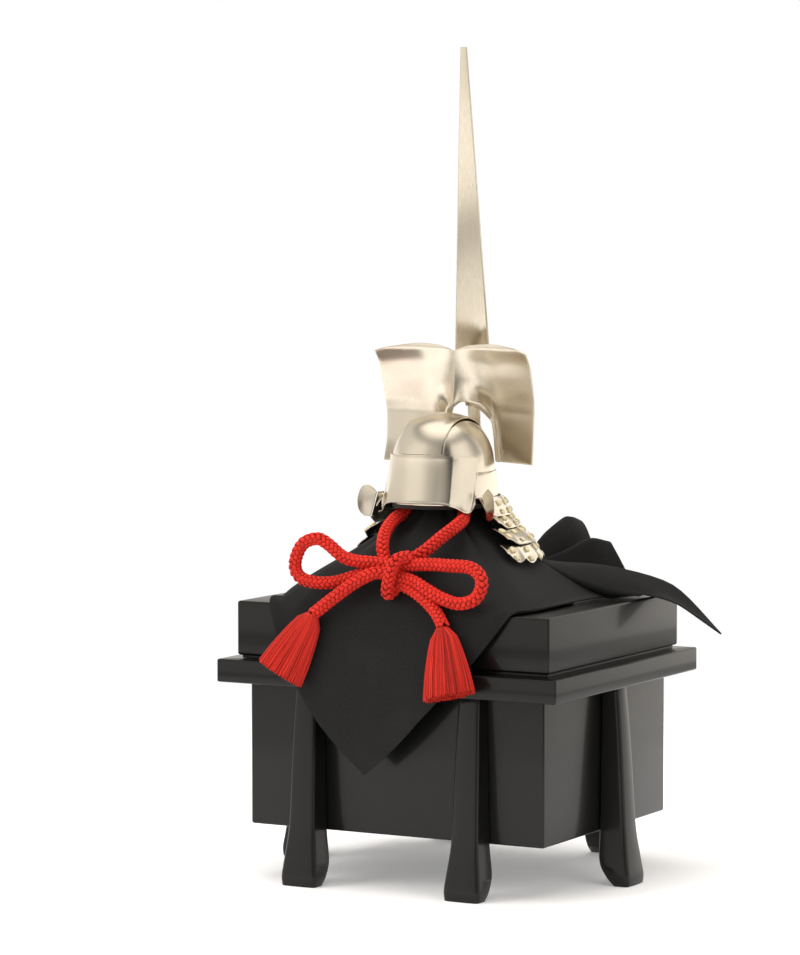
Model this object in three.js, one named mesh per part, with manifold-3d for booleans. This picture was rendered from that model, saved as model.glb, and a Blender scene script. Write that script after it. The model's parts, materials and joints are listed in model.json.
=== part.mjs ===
// A samurai helmet on the lacquered six-legged box that it is shown on.
// Millimetres, +Z up, front faces -Y. The origin is on the floor under the middle of the box.
import * as THREE from "three";
import { mergeVertices } from "three/addons/utils/BufferGeometryUtils.js";
import Module from "manifold-3d";

const wasm = await Module();
wasm.setup();

// Driving dimensions
const GAP = 0.3; // play left between pieces that touch

const TOTAL_HEIGHT = 620; // floor to the tip of the rear spike

const LID_WIDTH = 260;
const LID_DEPTH = 219.4;
const LID_TOP = 207.7;
const LID_SIDE_BOTTOM = 167.1; // lower edge of the lid's outer face
const LID_WALL = 8;
const RIM_OVERHANG = 11.2; // how far the rim board stands out past the lid
const RIM_TOP = 164.6;
const RIM_THICKNESS = 17.3;
const BODY_INSET = 7.4; // how far the body's faces lie inside the lid's
const BODY_BOTTOM = 39.7;
const BODY_WALL = 7;
const BODY_NECK_TOP = 186; // the body's inner lip, hidden under the lid
const EDGE_ROUND = 2;

const LEG_SPREAD = 68; // x of the front and back legs
const LEG_HALF_WIDTH = 14.8; // at the foot's widest
const LEG_REACH = 25.6; // how far the foot stands out from the body's face

const HELMET_Y = -27; // the helmet's axis stands forward of the box's middle
const HELMET_RISE = 73.3; // from the lid to the bowl's edge
const BOWL_HEIGHT = 65.2;
const BOWL_RADIUS = 39.9; // mean radius at the bowl's edge
const BOWL_WALL = 1.2;
const BOWL_WIDE = 0.984; // side to side share of the bowl's mean radius
const BOWL_LONG = 1.05; // front to back share
const PLATE = 0.9; // thickness of the overlaid plates
const CROWN_HALF_WIDTH = 18;
const CROWN_LIFT = 1.05; // from the bowl to the crown plate
const BROW_HEIGHT = 41.8; // to the plate's lowest points
const BROW_FLARE = 5.3; // how far the lower edge stands out past the bowl's
const LINING_HEIGHT = 12;
const LINING_THICKNESS = 1.2;

const WING_HALF = 63.6; // half width of the crest
const WING_HEIGHT = 89.6;
const WING_WALL = 1.1;
const ARCH_HALF = 25.2; // the crest's arch, which clears the bowl
const ARCH_CLEAR = 8.4; // from the bowl's top to the arch's

const GUARD_HEIGHT = 45.9; // all four lames
const SCALLOPS = 15; // lobes along the lowest lame's edge
const SCALLOP_DEPTH = 4.2;

const SPIKE_TIP_HALF = 2.7;
const SPIKE_TAPER = 0.0537; // half width gained for each millimetre down
const SPIKE_SEAT = 64; // from the bowl's edge to the shoulder, where the blade narrows to its tang
const SPIKE_TANG = 42;
const SPIKE_THICKNESS = 1.8;
const SPIKE_STANDOFF = 12; // from the bowl's edge back to the blade's line
const SPIKE_LEAN = 0.064; // the tip leans forward by this share of the height

const CLOTH_THICKNESS = 1.6;
const BOWL_SEAT = 2.8; // from the cloth on the post to the inside of the bowl
const POST_RADIUS = 13;
const POST_FOOT_RADIUS = 38;
const POST_FOOT_HEIGHT = 5;

const CORD_DIAMETER = 10;
const CORD_SIDES = 8;
const TASSEL_LOCKS = 10;

// Heights worked out from them
const BOWL_BOTTOM = LID_TOP + HELMET_RISE;
const BOWL_TOP = BOWL_BOTTOM + BOWL_HEIGHT;
const CLOTH_TOP = BOWL_TOP - BOWL_WALL - BOWL_SEAT - CLOTH_THICKNESS; // the cloth's underside on the post
const SPIKE_SHOULDER = BOWL_BOTTOM + SPIKE_SEAT;

// Materials
const paint = (color, roughness, metalness) =>
  new THREE.MeshStandardMaterial({ color, roughness, metalness });
const PEWTER = paint(0xb5a89c, 0.28, 1);
const LACQUER = paint(0x151515, 0.3, 0);
const LINING = paint(0x1c1b1a, 0.9, 0);
const CLOTH = paint(0x1b1b1d, 0.95, 0);
const CORD = paint(0xd6231f, 0.75, 0);
const WOOD = paint(0x6e5a45, 0.7, 0);

// Geometry helpers
const TURN = Math.PI * 2;
const rad = (degrees) => (degrees * Math.PI) / 180;
const lerp = (a, b, t) => a + (b - a) * t;
const clamp01 = (t) => Math.min(1, Math.max(0, t));
const smooth = (t) => clamp01(t) ** 2 * (3 - 2 * clamp01(t));
const P = (x, y, z) => new THREE.Vector3(x, y, z);

// y of a table of [x, y] rows at x, by straight lines
function along(table, x) {
  const rising = table[0][0] < table[table.length - 1][0];
  const rows = rising ? table : [...table].reverse();
  if (x <= rows[0][0]) return rows[0][1];
  for (let i = 1; i < rows.length; i++) {
    const [x0, y0] = rows[i - 1];
    const [x1, y1] = rows[i];
    if (x <= x1) return lerp(y0, y1, (x - x0) / (x1 - x0));
  }
  return rows[rows.length - 1][1];
}

function mesh(points, faces) {
  const geometry = new THREE.BufferGeometry();
  geometry.setAttribute("position", new THREE.Float32BufferAttribute(points.flatMap((p) => p.toArray()), 3));
  geometry.setIndex(faces.flat());
  return geometry;
}

// volume's sign tells whether the faces point out; a solid that points in is turned over
function outward(geometry) {
  const p = geometry.attributes.position;
  const index = geometry.index.array;
  const [a, b, c] = [P(), P(), P()];
  let volume = 0;
  for (let i = 0; i < index.length; i += 3) {
    a.fromBufferAttribute(p, index[i]);
    b.fromBufferAttribute(p, index[i + 1]);
    c.fromBufferAttribute(p, index[i + 2]);
    volume += a.dot(b.cross(c));
  }
  if (volume < 0) {
    for (let i = 0; i < index.length; i += 3) [index[i], index[i + 1]] = [index[i + 1], index[i]];
  }
  return geometry;
}

// a solid lofted through rings of points; the ends are closed by a fan, or the last ring meets the first
function loft(rings, closed = false) {
  const n = rings[0].length;
  const points = rings.flat();
  const faces = [];
  const spans = closed ? rings.length : rings.length - 1;
  for (let i = 0; i < spans; i++) {
    const a = i * n;
    const b = ((i + 1) % rings.length) * n;
    for (let j = 0; j < n; j++) {
      const k = (j + 1) % n;
      faces.push([a + j, a + k, b + k], [a + j, b + k, b + j]);
    }
  }
  if (!closed) {
    const last = rings.length - 1;
    for (const [ring, base, flip] of [[rings[0], 0, true], [rings[last], last * n, false]]) {
      const middle = ring.reduce((s, p) => s.add(p), P()).divideScalar(n);
      const m = points.push(middle) - 1;
      for (let j = 0; j < n; j++) {
        const k = (j + 1) % n;
        faces.push(flip ? [m, base + k, base + j] : [m, base + j, base + k]);
      }
    }
  }
  return outward(mesh(points, faces));
}

// a thin solid between two grids of points, outer[i][j] and inner[i][j]; j may run round and meet itself,
// and the first row may be one point
function shell(outer, inner, { around = false, pole = false } = {}) {
  const rows = outer.length;
  const cols = outer[0].length;
  const points = [];
  const index = [outer, inner].map((grid) =>
    grid.map((row, i) => {
      if (pole && i === 0) {
        const at = points.push(row[0]) - 1;
        return row.map(() => at);
      }
      return row.map((p) => points.push(p) - 1);
    }));
  const faces = [];
  const add = (...face) => new Set(face).size === 3 && faces.push(face);
  const spans = around ? cols : cols - 1;
  for (let i = 0; i < rows - 1; i++) {
    for (let j = 0; j < spans; j++) {
      const k = (j + 1) % cols;
      const [o, q] = index;
      add(o[i][j], o[i][k], o[i + 1][k]);
      add(o[i][j], o[i + 1][k], o[i + 1][j]);
      add(q[i][j], q[i + 1][k], q[i][k]);
      add(q[i][j], q[i + 1][j], q[i + 1][k]);
    }
  }
  const [o, q] = index;
  const edge = (a, b, c, d) => {
    add(a, b, c);
    add(a, c, d);
  };
  for (let j = 0; j < spans; j++) {
    const k = (j + 1) % cols;
    if (!pole) edge(o[0][k], o[0][j], q[0][j], q[0][k]);
    edge(o[rows - 1][j], o[rows - 1][k], q[rows - 1][k], q[rows - 1][j]);
  }
  if (!around) {
    for (let i = 0; i < rows - 1; i++) {
      edge(o[i][0], o[i + 1][0], q[i + 1][0], q[i][0]);
      edge(o[i + 1][cols - 1], o[i][cols - 1], q[i][cols - 1], q[i + 1][cols - 1]);
    }
  }
  return outward(mesh(points, faces));
}

// a grid of points pushed outward along its own normals, rows running down and columns with the azimuth
function pushed(grid, distance, { around = false, pole = false } = {}) {
  const rows = grid.length;
  const cols = grid[0].length;
  return grid.map((row, i) =>
    row.map((p, j) => {
      if (pole && i === 0) return p.clone().add(P(0, 0, distance));
      const left = around ? row[(j + cols - 1) % cols] : row[Math.max(0, j - 1)];
      const right = around ? row[(j + 1) % cols] : row[Math.min(cols - 1, j + 1)];
      const up = grid[Math.max(0, i - 1)][j];
      const down = grid[Math.min(rows - 1, i + 1)][j];
      const normal = down.clone().sub(up).cross(right.clone().sub(left)).normalize();
      return p.clone().addScaledVector(normal, distance);
    }));
}

const grid = (rows, cols, at) =>
  Array.from({ length: rows }, (_, i) => Array.from({ length: cols }, (_, j) => at(i, j)));

function tube(points, radius, steps, sides = CORD_SIDES) {
  const section = new THREE.Shape(
    Array.from({ length: sides }, (_, i) =>
      new THREE.Vector2(radius * Math.cos((i / sides) * TURN), radius * Math.sin((i / sides) * TURN))));
  const path = new THREE.CatmullRomCurve3(points, false, "centripetal");
  return new THREE.ExtrudeGeometry(section, { steps, extrudePath: path, bevelEnabled: false });
}

function solid(geometry) {
  const bare = geometry.clone();
  for (const name of ["normal", "uv"]) bare.deleteAttribute(name);
  const merged = mergeVertices(bare, 1e-4);
  return new wasm.Manifold(new wasm.Mesh({
    numProp: 3,
    vertProperties: new Float32Array(merged.attributes.position.array),
    triVerts: new Uint32Array(merged.index.array),
  }));
}

function geometryOf(manifold) {
  const out = manifold.getMesh();
  const geometry = new THREE.BufferGeometry();
  geometry.setAttribute("position", new THREE.BufferAttribute(new Float32Array(out.vertProperties), 3));
  geometry.setIndex(new THREE.BufferAttribute(new Uint32Array(out.triVerts), 1));
  return geometry;
}

const group = new THREE.Group();
function piece(name, geometry, material) {
  geometry.deleteAttribute("uv");
  geometry.computeVertexNormals();
  const node = new THREE.Mesh(geometry, material);
  node.name = name;
  group.add(node);
  return node;
}

// Box: lid, rim and body
// ring of a rectangle with rounded corners, half sizes x and y, at height z
function rectangle(x, y, z, round, perCorner = 3) {
  const ring = [];
  for (const [sx, sy, from] of [[1, 1, 0], [-1, 1, 90], [-1, -1, 180], [1, -1, 270]]) {
    for (let i = 0; i < perCorner; i++) {
      const a = rad(from + (90 * i) / (perCorner - 1));
      ring.push(P(sx * (x - round) + round * Math.cos(a), sy * (y - round) + round * Math.sin(a), z));
    }
  }
  return ring;
}

const lidX = LID_WIDTH / 2;
const lidY = LID_DEPTH / 2;
const bodyX = lidX - BODY_INSET;
const bodyY = lidY - BODY_INSET;
const rimX = lidX + RIM_OVERHANG;
const rimY = lidY + RIM_OVERHANG;
const slab = (inset, z, round = EDGE_ROUND) => rectangle(lidX - inset, lidY - inset, z, round);

piece("box_lid", loft([
  slab(LID_WALL, LID_TOP - LID_WALL, 1),
  slab(LID_WALL - 1.5, RIM_TOP + GAP, 1),
  slab(2.5, RIM_TOP + GAP),
  slab(2.5, LID_SIDE_BOTTOM - 0.4),
  slab(0.6, LID_SIDE_BOTTOM),
  slab(0, LID_SIDE_BOTTOM + 0.8),
  slab(0, LID_TOP - EDGE_ROUND),
  slab(EDGE_ROUND * 0.3, LID_TOP - EDGE_ROUND * 0.3),
  slab(EDGE_ROUND, LID_TOP),
]), LACQUER);

const rimBottom = RIM_TOP - RIM_THICKNESS;
piece("box_rim", loft([
  rectangle(rimX, rimY, rimBottom + 1, 1.5),
  rectangle(rimX, rimY, RIM_TOP - 1, 1.5),
  rectangle(rimX - 1, rimY - 1, RIM_TOP, 1.5),
  rectangle(bodyX + GAP, bodyY + GAP, RIM_TOP, 1.5),
  rectangle(bodyX + GAP, bodyY + GAP, rimBottom, 1.5),
  rectangle(rimX - 1, rimY - 1, rimBottom, 1.5),
], true), LACQUER);

const neckInset = LID_WALL - BODY_INSET + 1.2;
piece("box_body", loft([
  rectangle(bodyX - BODY_WALL, bodyY - BODY_WALL, BODY_BOTTOM + BODY_WALL, 1),
  rectangle(bodyX - BODY_WALL, bodyY - BODY_WALL, BODY_NECK_TOP, 1),
  rectangle(bodyX - neckInset, bodyY - neckInset, BODY_NECK_TOP, 1.5),
  rectangle(bodyX - neckInset, bodyY - neckInset, RIM_TOP, 1.5),
  rectangle(bodyX, bodyY, RIM_TOP - 0.5, 1.5),
  rectangle(bodyX, bodyY, BODY_BOTTOM + 1, 1.5),
  rectangle(bodyX - 1, bodyY - 1, BODY_BOTTOM, 1.5),
]), LACQUER);

// Six legs, flaring outward at the foot
const LEG_SECTIONS = [
  // height as a share of the leg's, half width as a share of the foot's, and how far the inner and the
  // outer face stand out from the body, as shares of the foot's reach
  [0, 0.966, 0.523, 0.984],
  [0.048, 1, 0.273, 1],
  [0.122, 0.932, 0.047, 0.938],
  [0.265, 0.77, 0, 0.828],
  [0.422, 0.716, 0, 0.766],
  [0.626, 0.682, 0, 0.7],
  [0.83, 0.628, 0, 0.617],
  [1, 0.574, 0, 0.531],
];

function leg(name, faceX, faceY, turn) {
  const rings = LEG_SECTIONS.map(([up, wide, near, far]) => {
    const z = up * (rimBottom - GAP);
    const half = wide * LEG_HALF_WIDTH;
    const inner = Math.max(GAP, near * LEG_REACH);
    const outer = far * LEG_REACH;
    const round = Math.min(3, (outer - inner) / 3);
    const outline = [
      [-half + 1, inner], [half - 1, inner], [half, inner + 1],
      [half, outer - round], [half - round * 0.3, outer - round * 0.3], [half - round, outer],
      [0, outer + 0.5],
      [-half + round, outer], [-half + round * 0.3, outer - round * 0.3], [-half, outer - round],
      [-half, inner + 1],
    ];
    return outline.map(([across, out]) =>
      P(across, -out, z).applyAxisAngle(P(0, 0, 1), rad(turn)).add(P(faceX, faceY, 0)));
  });
  piece(name, loft(rings), LACQUER);
}
for (const [end, sign, turn] of [["front", -1, 0], ["back", 1, 180]]) {
  for (const [side, x] of [["left", -LEG_SPREAD], ["right", LEG_SPREAD]]) {
    leg(`leg_${end}_${side}`, x, sign * bodyY, turn);
  }
}
leg("leg_side_right", bodyX, 0, 90);
leg("leg_side_left", -bodyX, 0, -90);

// Helmet bowl
// azimuth 0 is the front, 90 the wearer's left, which is +X
const BOWL_PROFILE = [
  // share of the bowl's height, share of its radius
  [1, 0], [0.992, 0.15], [0.972, 0.313], [0.93, 0.511], [0.859, 0.687], [0.752, 0.817],
  [0.629, 0.907], [0.506, 0.95], [0.291, 0.98], [0.138, 0.993], [0, 1],
].map(([up, out]) => [BOWL_BOTTOM + up * BOWL_HEIGHT, out * BOWL_RADIUS]);
const round = (azimuth, radius, z) =>
  P(radius * BOWL_WIDE * Math.sin(rad(azimuth)), HELMET_Y - radius * BOWL_LONG * Math.cos(rad(azimuth)), z);
const BOWL_COLUMNS = 24;
const bowlGrid = grid(BOWL_PROFILE.length, BOWL_COLUMNS, (i, j) =>
  round((360 * j) / BOWL_COLUMNS, BOWL_PROFILE[i][1], BOWL_PROFILE[i][0]));
const wrap = { around: true, pole: true };
piece("bowl", shell(bowlGrid, pushed(bowlGrid, -BOWL_WALL, wrap).map((row, i) =>
  i < BOWL_PROFILE.length - 1 ? row : row.map((p) => P(p.x, p.y, BOWL_BOTTOM))), wrap), PEWTER);

// raised plate over the crown, from the brow to the nape
const CROWN_FRONT = BOWL_BOTTOM + 0.574 * BOWL_HEIGHT;
const CROWN_BACK = BOWL_BOTTOM + 0.362 * BOWL_HEIGHT;
const bowlRadius = (z) => along(BOWL_PROFILE, z);
const bowlHeight = (radius) => along(BOWL_PROFILE.map(([z, r]) => [r, z]), radius);
const crownBase = grid(13, 5, (i, j) => {
  const t = i / 6 - 1;
  const x = (CROWN_HALF_WIDTH * (j / 2 - 1)) / BOWL_WIDE;
  const end = bowlRadius(t < 0 ? CROWN_FRONT : CROWN_BACK);
  const y = Math.sin((t * Math.PI) / 2) * Math.sqrt(end * end - x * x);
  return P(x * BOWL_WIDE, HELMET_Y + y * BOWL_LONG, bowlHeight(Math.hypot(x, y)));
});
piece("crown_plate", shell(pushed(crownBase, -CROWN_LIFT - PLATE), pushed(crownBase, -CROWN_LIFT)), PEWTER);

const BAND_TOP = BOWL_BOTTOM + 0.337 * BOWL_HEIGHT;
// angles from the front at which the base band and the brow plate meet, at the top and at the bottom
const BAND_ENDS = [68.3, 62];
const BROW_ENDS = [70, 61];
const band = (from, to, columns, rows, at) =>
  grid(rows, columns, (i, j) => at(lerp(from, to, j / (columns - 1)), i / (rows - 1)));

const baseBand = band(-1, 1, 26, 2, (side, t) => {
  const a = 180 + side * (180 - lerp(...BAND_ENDS, t));
  const z = lerp(BAND_TOP, BOWL_BOTTOM + 0.6, t);
  return round(a, bowlRadius(z) + GAP + PLATE + 0.5 * t, z);
});
piece("base_band", shell(baseBand, pushed(baseBand, -PLATE)), PEWTER);

// Brow plate
const BROW_TOP = BOWL_BOTTOM + 0.558 * BOWL_HEIGHT;
// the lower edge: angle from the front, depth as a share of the plate's height
const BROW_EDGE = [[0, 0.818], [25, 0.828], [40, 0.895], [53, 1], [57, 0.967], [61, 0.823]];
const BROW_CORNER = 33; // angle of the soft corner that runs down the plate
const browGrid = band(-1, 1, 17, 4, (side, t) => {
  const a = side * lerp(...BROW_ENDS, t);
  const off = Math.abs(side) * BROW_ENDS[1];
  const z = BROW_TOP - t * along(BROW_EDGE, off) * BROW_HEIGHT;
  const corner = 0.5 * smooth(1 - Math.abs(off - BROW_CORNER) / 10);
  const top = bowlRadius(BROW_TOP) + GAP + PLATE + side ** 2;
  return round(a, lerp(top, BOWL_RADIUS + BROW_FLARE, t ** 1.35) + corner * (0.2 + t), z);
});
piece("brow_plate", shell(browGrid, pushed(browGrid, -PLATE)), PEWTER);

// Soft band inside the bowl
const LINING_COLUMNS = 24;
const LINING_TOP = BOWL_BOTTOM + 0.75 * LINING_HEIGHT;
const liningRadius = BOWL_RADIUS - BOWL_WALL - GAP - 0.5;
const liningGrid = grid(2, LINING_COLUMNS, (i, j) =>
  round((360 * j) / LINING_COLUMNS, liningRadius, LINING_TOP - i * LINING_HEIGHT));
const liningInside = pushed(liningGrid, -LINING_THICKNESS, { around: true });
piece("lining_band", shell(liningGrid, liningInside, { around: true }), LINING);

// Crest: two hollow lobes meeting in a ridge
const WING_BOTTOM = BOWL_BOTTOM + 0.43 * BOWL_HEIGHT;
const wingZ = (up) => WING_BOTTOM + up * WING_HEIGHT;
// upper edge: share of the half width, share of the height
const WING_TOP = [
  [0, 0.941], [0.079, 0.96], [0.212, 0.988], [0.44, 1], [0.645, 0.988], [0.849, 0.956], [0.997, 0.924],
].map(([out, up]) => [out * WING_HALF, wingZ(up)]);
// outer edge: share of the height, share of the half width
const WING_SIDE = [
  [0, 0.987], [0.2, 0.975], [0.413, 0.978], [0.569, 0.992], [0.748, 1], [0.926, 0.997],
].map(([up, out]) => [wingZ(up), out * WING_HALF]);
const WING_SHARES = [0, 0.12, 0.25, 0.45, 0.7, 1];
const WING_DEPTH = [
  // share of the height, then how far the plate lies behind the helmet's axis at WING_SHARES of the half
  // width, as shares of the half width
  [0, 0.613, 0.613, 0.621, 0.629, 0.519, 0.346],
  [0.2, 0.55, 0.558, 0.582, 0.59, 0.519, 0.401],
  [0.413, 0.039, 0.299, 0.503, 0.566, 0.519, 0.412],
  [0.513, 0.231, 0.362, 0.487, 0.527, 0.487, 0.39],
  [0.703, 0.294, 0.346, 0.409, 0.44, 0.393, 0.314],
  [0.96, 0.22, 0.226, 0.245, 0.274, 0.23, 0.102],
];
function wingY(share, z) {
  const column = WING_SHARES.map((s, k) =>
    [s, along(WING_DEPTH.map((row) => [wingZ(row[0]), row[k + 1] * WING_HALF]), z)]);
  return HELMET_Y + along(column, share);
}
const WING_COLUMNS = [0, 0.05, 0.12, 0.25, 0.45, 0.7, 0.88, 1];
const wingShares = [...WING_COLUMNS.slice(1).map((s) => -s).reverse(), ...WING_COLUMNS];
const WING_ROWS = [0, 0.13, 0.27, 0.42, 0.55, 0.68, 0.8, 0.9, 1];
const wingGrid = grid(WING_ROWS.length, wingShares.length, (i, j) => {
  const share = Math.abs(wingShares[j]);
  const reach = share * along(WING_SIDE, wingZ(0.9375 * WING_ROWS[i]));
  const z = lerp(WING_BOTTOM, along(WING_TOP, reach), WING_ROWS[i]);
  return P(Math.sign(wingShares[j]) * share * along(WING_SIDE, z), wingY(share, z), z);
});
// the arch that clears the bowl: share of its half width, share of its height over the bowl's edge
const ARCH = [
  [0, 1], [0.317, 0.986], [0.635, 0.943], [0.853, 0.87], [0.952, 0.747], [0.992, 0.557], [1, 0.258],
].map(([out, up]) => [out * ARCH_HALF, BOWL_BOTTOM + up * (BOWL_HEIGHT + ARCH_CLEAR)]);
const archShape = new THREE.Shape([
  ...ARCH.map(([x, z]) => new THREE.Vector2(x, z)),
  ...ARCH.slice(1).reverse().map(([x, z]) => new THREE.Vector2(-x, z)),
]);
const archCutter = new THREE.ExtrudeGeometry(archShape, { depth: 80, bevelEnabled: false, steps: 1 });
archCutter.rotateX(Math.PI / 2).translate(0, 40, 0);
// below the arch the ridge runs on as a narrow foot that stands on the crown plate
const FOOT_HALF = 2.6;
const CREST_FOOT = [
  // front y and z, back y and z: y as shares of the crest's half width behind the helmet's axis, z as
  // shares of the way from the crown plate up to the crest's upper edge
  [0.258, 0.349, 0.292, 0.349], [0.22, 0.17, 0.261, 0.151],
  [0.134, 0.075, 0.181, -0.013], [0.031, 0.035, 0.031, 0.001],
];
const crownTop = BOWL_TOP + CROWN_LIFT + PLATE + GAP;
const footPoint = (side, behind, up) =>
  P(side * FOOT_HALF, HELMET_Y + behind * WING_HALF, lerp(crownTop, wingZ(1), up));
const crestFoot = loft(CREST_FOOT.map(([y0, z0, y1, z1]) =>
  [footPoint(-1, y0, z0), footPoint(1, y0, z0), footPoint(1, y1, z1), footPoint(-1, y1, z1)]));
const wings = solid(shell(wingGrid, pushed(wingGrid, -WING_WALL))).subtract(solid(archCutter));
piece("crest_plate", geometryOf(wings.add(solid(crestFoot))), PEWTER);

// Rear spike and the socket that holds it
const bowlBack = HELMET_Y + BOWL_LONG * BOWL_RADIUS;
const spikeY = (z) => bowlBack + SPIKE_STANDOFF - (z - BOWL_BOTTOM) * SPIKE_LEAN;
const TANG_HALF = 8;
const SPIKE_ROWS = [
  // z, half width
  [TOTAL_HEIGHT, SPIKE_TIP_HALF],
  [SPIKE_SHOULDER, SPIKE_TIP_HALF + (TOTAL_HEIGHT - SPIKE_SHOULDER) * SPIKE_TAPER],
  [SPIKE_SHOULDER - 0.45 * SPIKE_TANG, TANG_HALF], [SPIKE_SHOULDER - SPIKE_TANG, TANG_HALF - 1],
];
const blade = (y, z, half, thick) => [
  P(-half, y, z), P(-half * 0.9, y - thick / 2, z), P(half * 0.9, y - thick / 2, z),
  P(half, y, z), P(half * 0.9, y + thick / 2, z), P(-half * 0.9, y + thick / 2, z),
];
piece("rear_spike", loft(SPIKE_ROWS.map(([z, half]) => blade(spikeY(z), z, half, SPIKE_THICKNESS))), PEWTER);

const tangEnd = SPIKE_SHOULDER - SPIKE_TANG;
const SOCKET = { half: TANG_HALF + 2, top: tangEnd + 15, bottom: tangEnd - 2.5 };
const socketRing = (z, half, front, back) =>
  [P(-half, front, z), P(half, front, z), P(half, back, z), P(-half, back, z)];
const socketFront = HELMET_Y + BOWL_LONG * bowlRadius(CROWN_BACK) + CROWN_LIFT + PLATE + GAP + 0.2;
const tangFront = (z) => spikeY(z) - SPIKE_THICKNESS / 2 - GAP;
piece("spike_socket", loft([
  socketRing(SOCKET.bottom, SOCKET.half, socketFront, spikeY(SOCKET.bottom) + 3),
  socketRing(SOCKET.bottom + 2, SOCKET.half, socketFront, spikeY(SOCKET.bottom) + 3),
  socketRing(SOCKET.bottom + 2.1, SOCKET.half, socketFront, tangFront(SOCKET.bottom)),
  socketRing(SOCKET.top, SOCKET.half, socketFront, tangFront(SOCKET.top)),
]), PEWTER);

// Neck guard: four flaring lames
const GUARD_TOP = BOWL_BOTTOM + 5.5;
const LAMES = [
  // name, front end angle, then radius of the upper edge and its drop, radius of the lower edge and its
  // drop: radii as shares of the bowl's, drops as shares of the guard's height
  ["neck_lame_1", 67, 1.093, 0, 1.291, 0.303],
  ["neck_lame_2", 75, 1.188, 0.268, 1.434, 0.495],
  ["neck_lame_3", 72, 1.333, 0.477, 1.734, 0.734],
  ["neck_lame_4", 68, 1.644, 0.725, 1.885, 1],
];
// the lames follow the bowl's oval at their top and grow round toward their lower edges
function guard(azimuth, radius, z) {
  const t = clamp01((radius / BOWL_RADIUS - 1.078) / 0.627);
  return P(radius * lerp(BOWL_WIDE, 1, t) * Math.sin(rad(azimuth)),
    HELMET_Y - radius * lerp(BOWL_LONG, 1, t) * Math.cos(rad(azimuth)), z);
}
for (const [name, end, topOut, topDrop, bottomOut, bottomDrop] of LAMES) {
  const scalloped = name === "neck_lame_4";
  const columns = scalloped ? SCALLOPS * 4 + 1 : 23;
  const lame = band(end, 360 - end, columns, 2, (a, t) => {
    const u = (a - end) / (360 - end - end);
    // the lobes reach down and the cusps between them up
    const dip = scalloped ? SCALLOP_DEPTH * t * (Math.abs(Math.sin(u * SCALLOPS * Math.PI)) - 0.5) : 0;
    const rise = 5 * smooth(1 - Math.min(u, 1 - u) / 0.06) * t; // the front ends curve up
    const z = GUARD_TOP - lerp(topDrop, bottomDrop, t) * GUARD_HEIGHT;
    return guard(a, lerp(topOut, bottomOut, t) * BOWL_RADIUS, z + rise - dip);
  });
  piece(name, shell(lame, pushed(lame, -PLATE)), PEWTER);
}

// turned-back ear plates on the ends of the upper lame; their fold and their tip each run between two
// points: x, y behind the helmet's axis and z over the bowl's edge, as shares of the bowl's radius
const EAR_FOLD = [[1.088, -0.531, 0.226], [1.218, -0.566, -0.251]];
const EAR_TIP = [[1.444, -0.702, 0.301], [1.459, -0.702, -0.263]];
const EAR_WALL = 1;
const earPoint = ([x, y, z]) => P(x, y, z).multiplyScalar(BOWL_RADIUS).add(P(0, HELMET_Y, BOWL_BOTTOM));
const EAR_LEAF = [[0, 0.12], [0.3, 0], [0.75, 0.03], [1, 0.35], [0.97, 0.75], [0.6, 1], [0.1, 0.97]];
for (const [side, sign] of [["left", -1], ["right", 1]]) {
  const fold = EAR_FOLD.map(earPoint);
  const tip = EAR_TIP.map(earPoint);
  const outline = (offset) => EAR_LEAF.map(([out, down]) => {
    const a = fold[0].clone().lerp(fold[1], down);
    const p = a.lerp(tip[0].clone().lerp(tip[1], down), out);
    return P(sign * p.x, p.y + offset, p.z);
  });
  piece(`ear_plate_${side}`, loft([outline(0), outline(EAR_WALL)]), PEWTER);
}

// Hidden post that carries the helmet
const postBottom = LID_TOP + GAP;
const postFoot = postBottom + POST_FOOT_HEIGHT;
const postProfile = [
  [0, postBottom], [POST_FOOT_RADIUS, postBottom], [POST_FOOT_RADIUS, postFoot],
  [POST_RADIUS, postFoot + 4], [POST_RADIUS, CLOTH_TOP - GAP - 2],
  [POST_RADIUS - 2, CLOTH_TOP - GAP], [0, CLOTH_TOP - GAP],
];
const post = new THREE.LatheGeometry(postProfile.map(([r, z]) => new THREE.Vector2(r, z)), 20);
post.rotateX(Math.PI / 2).translate(0, HELMET_Y, 0);
piece("helmet_post", post, WOOD);

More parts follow.
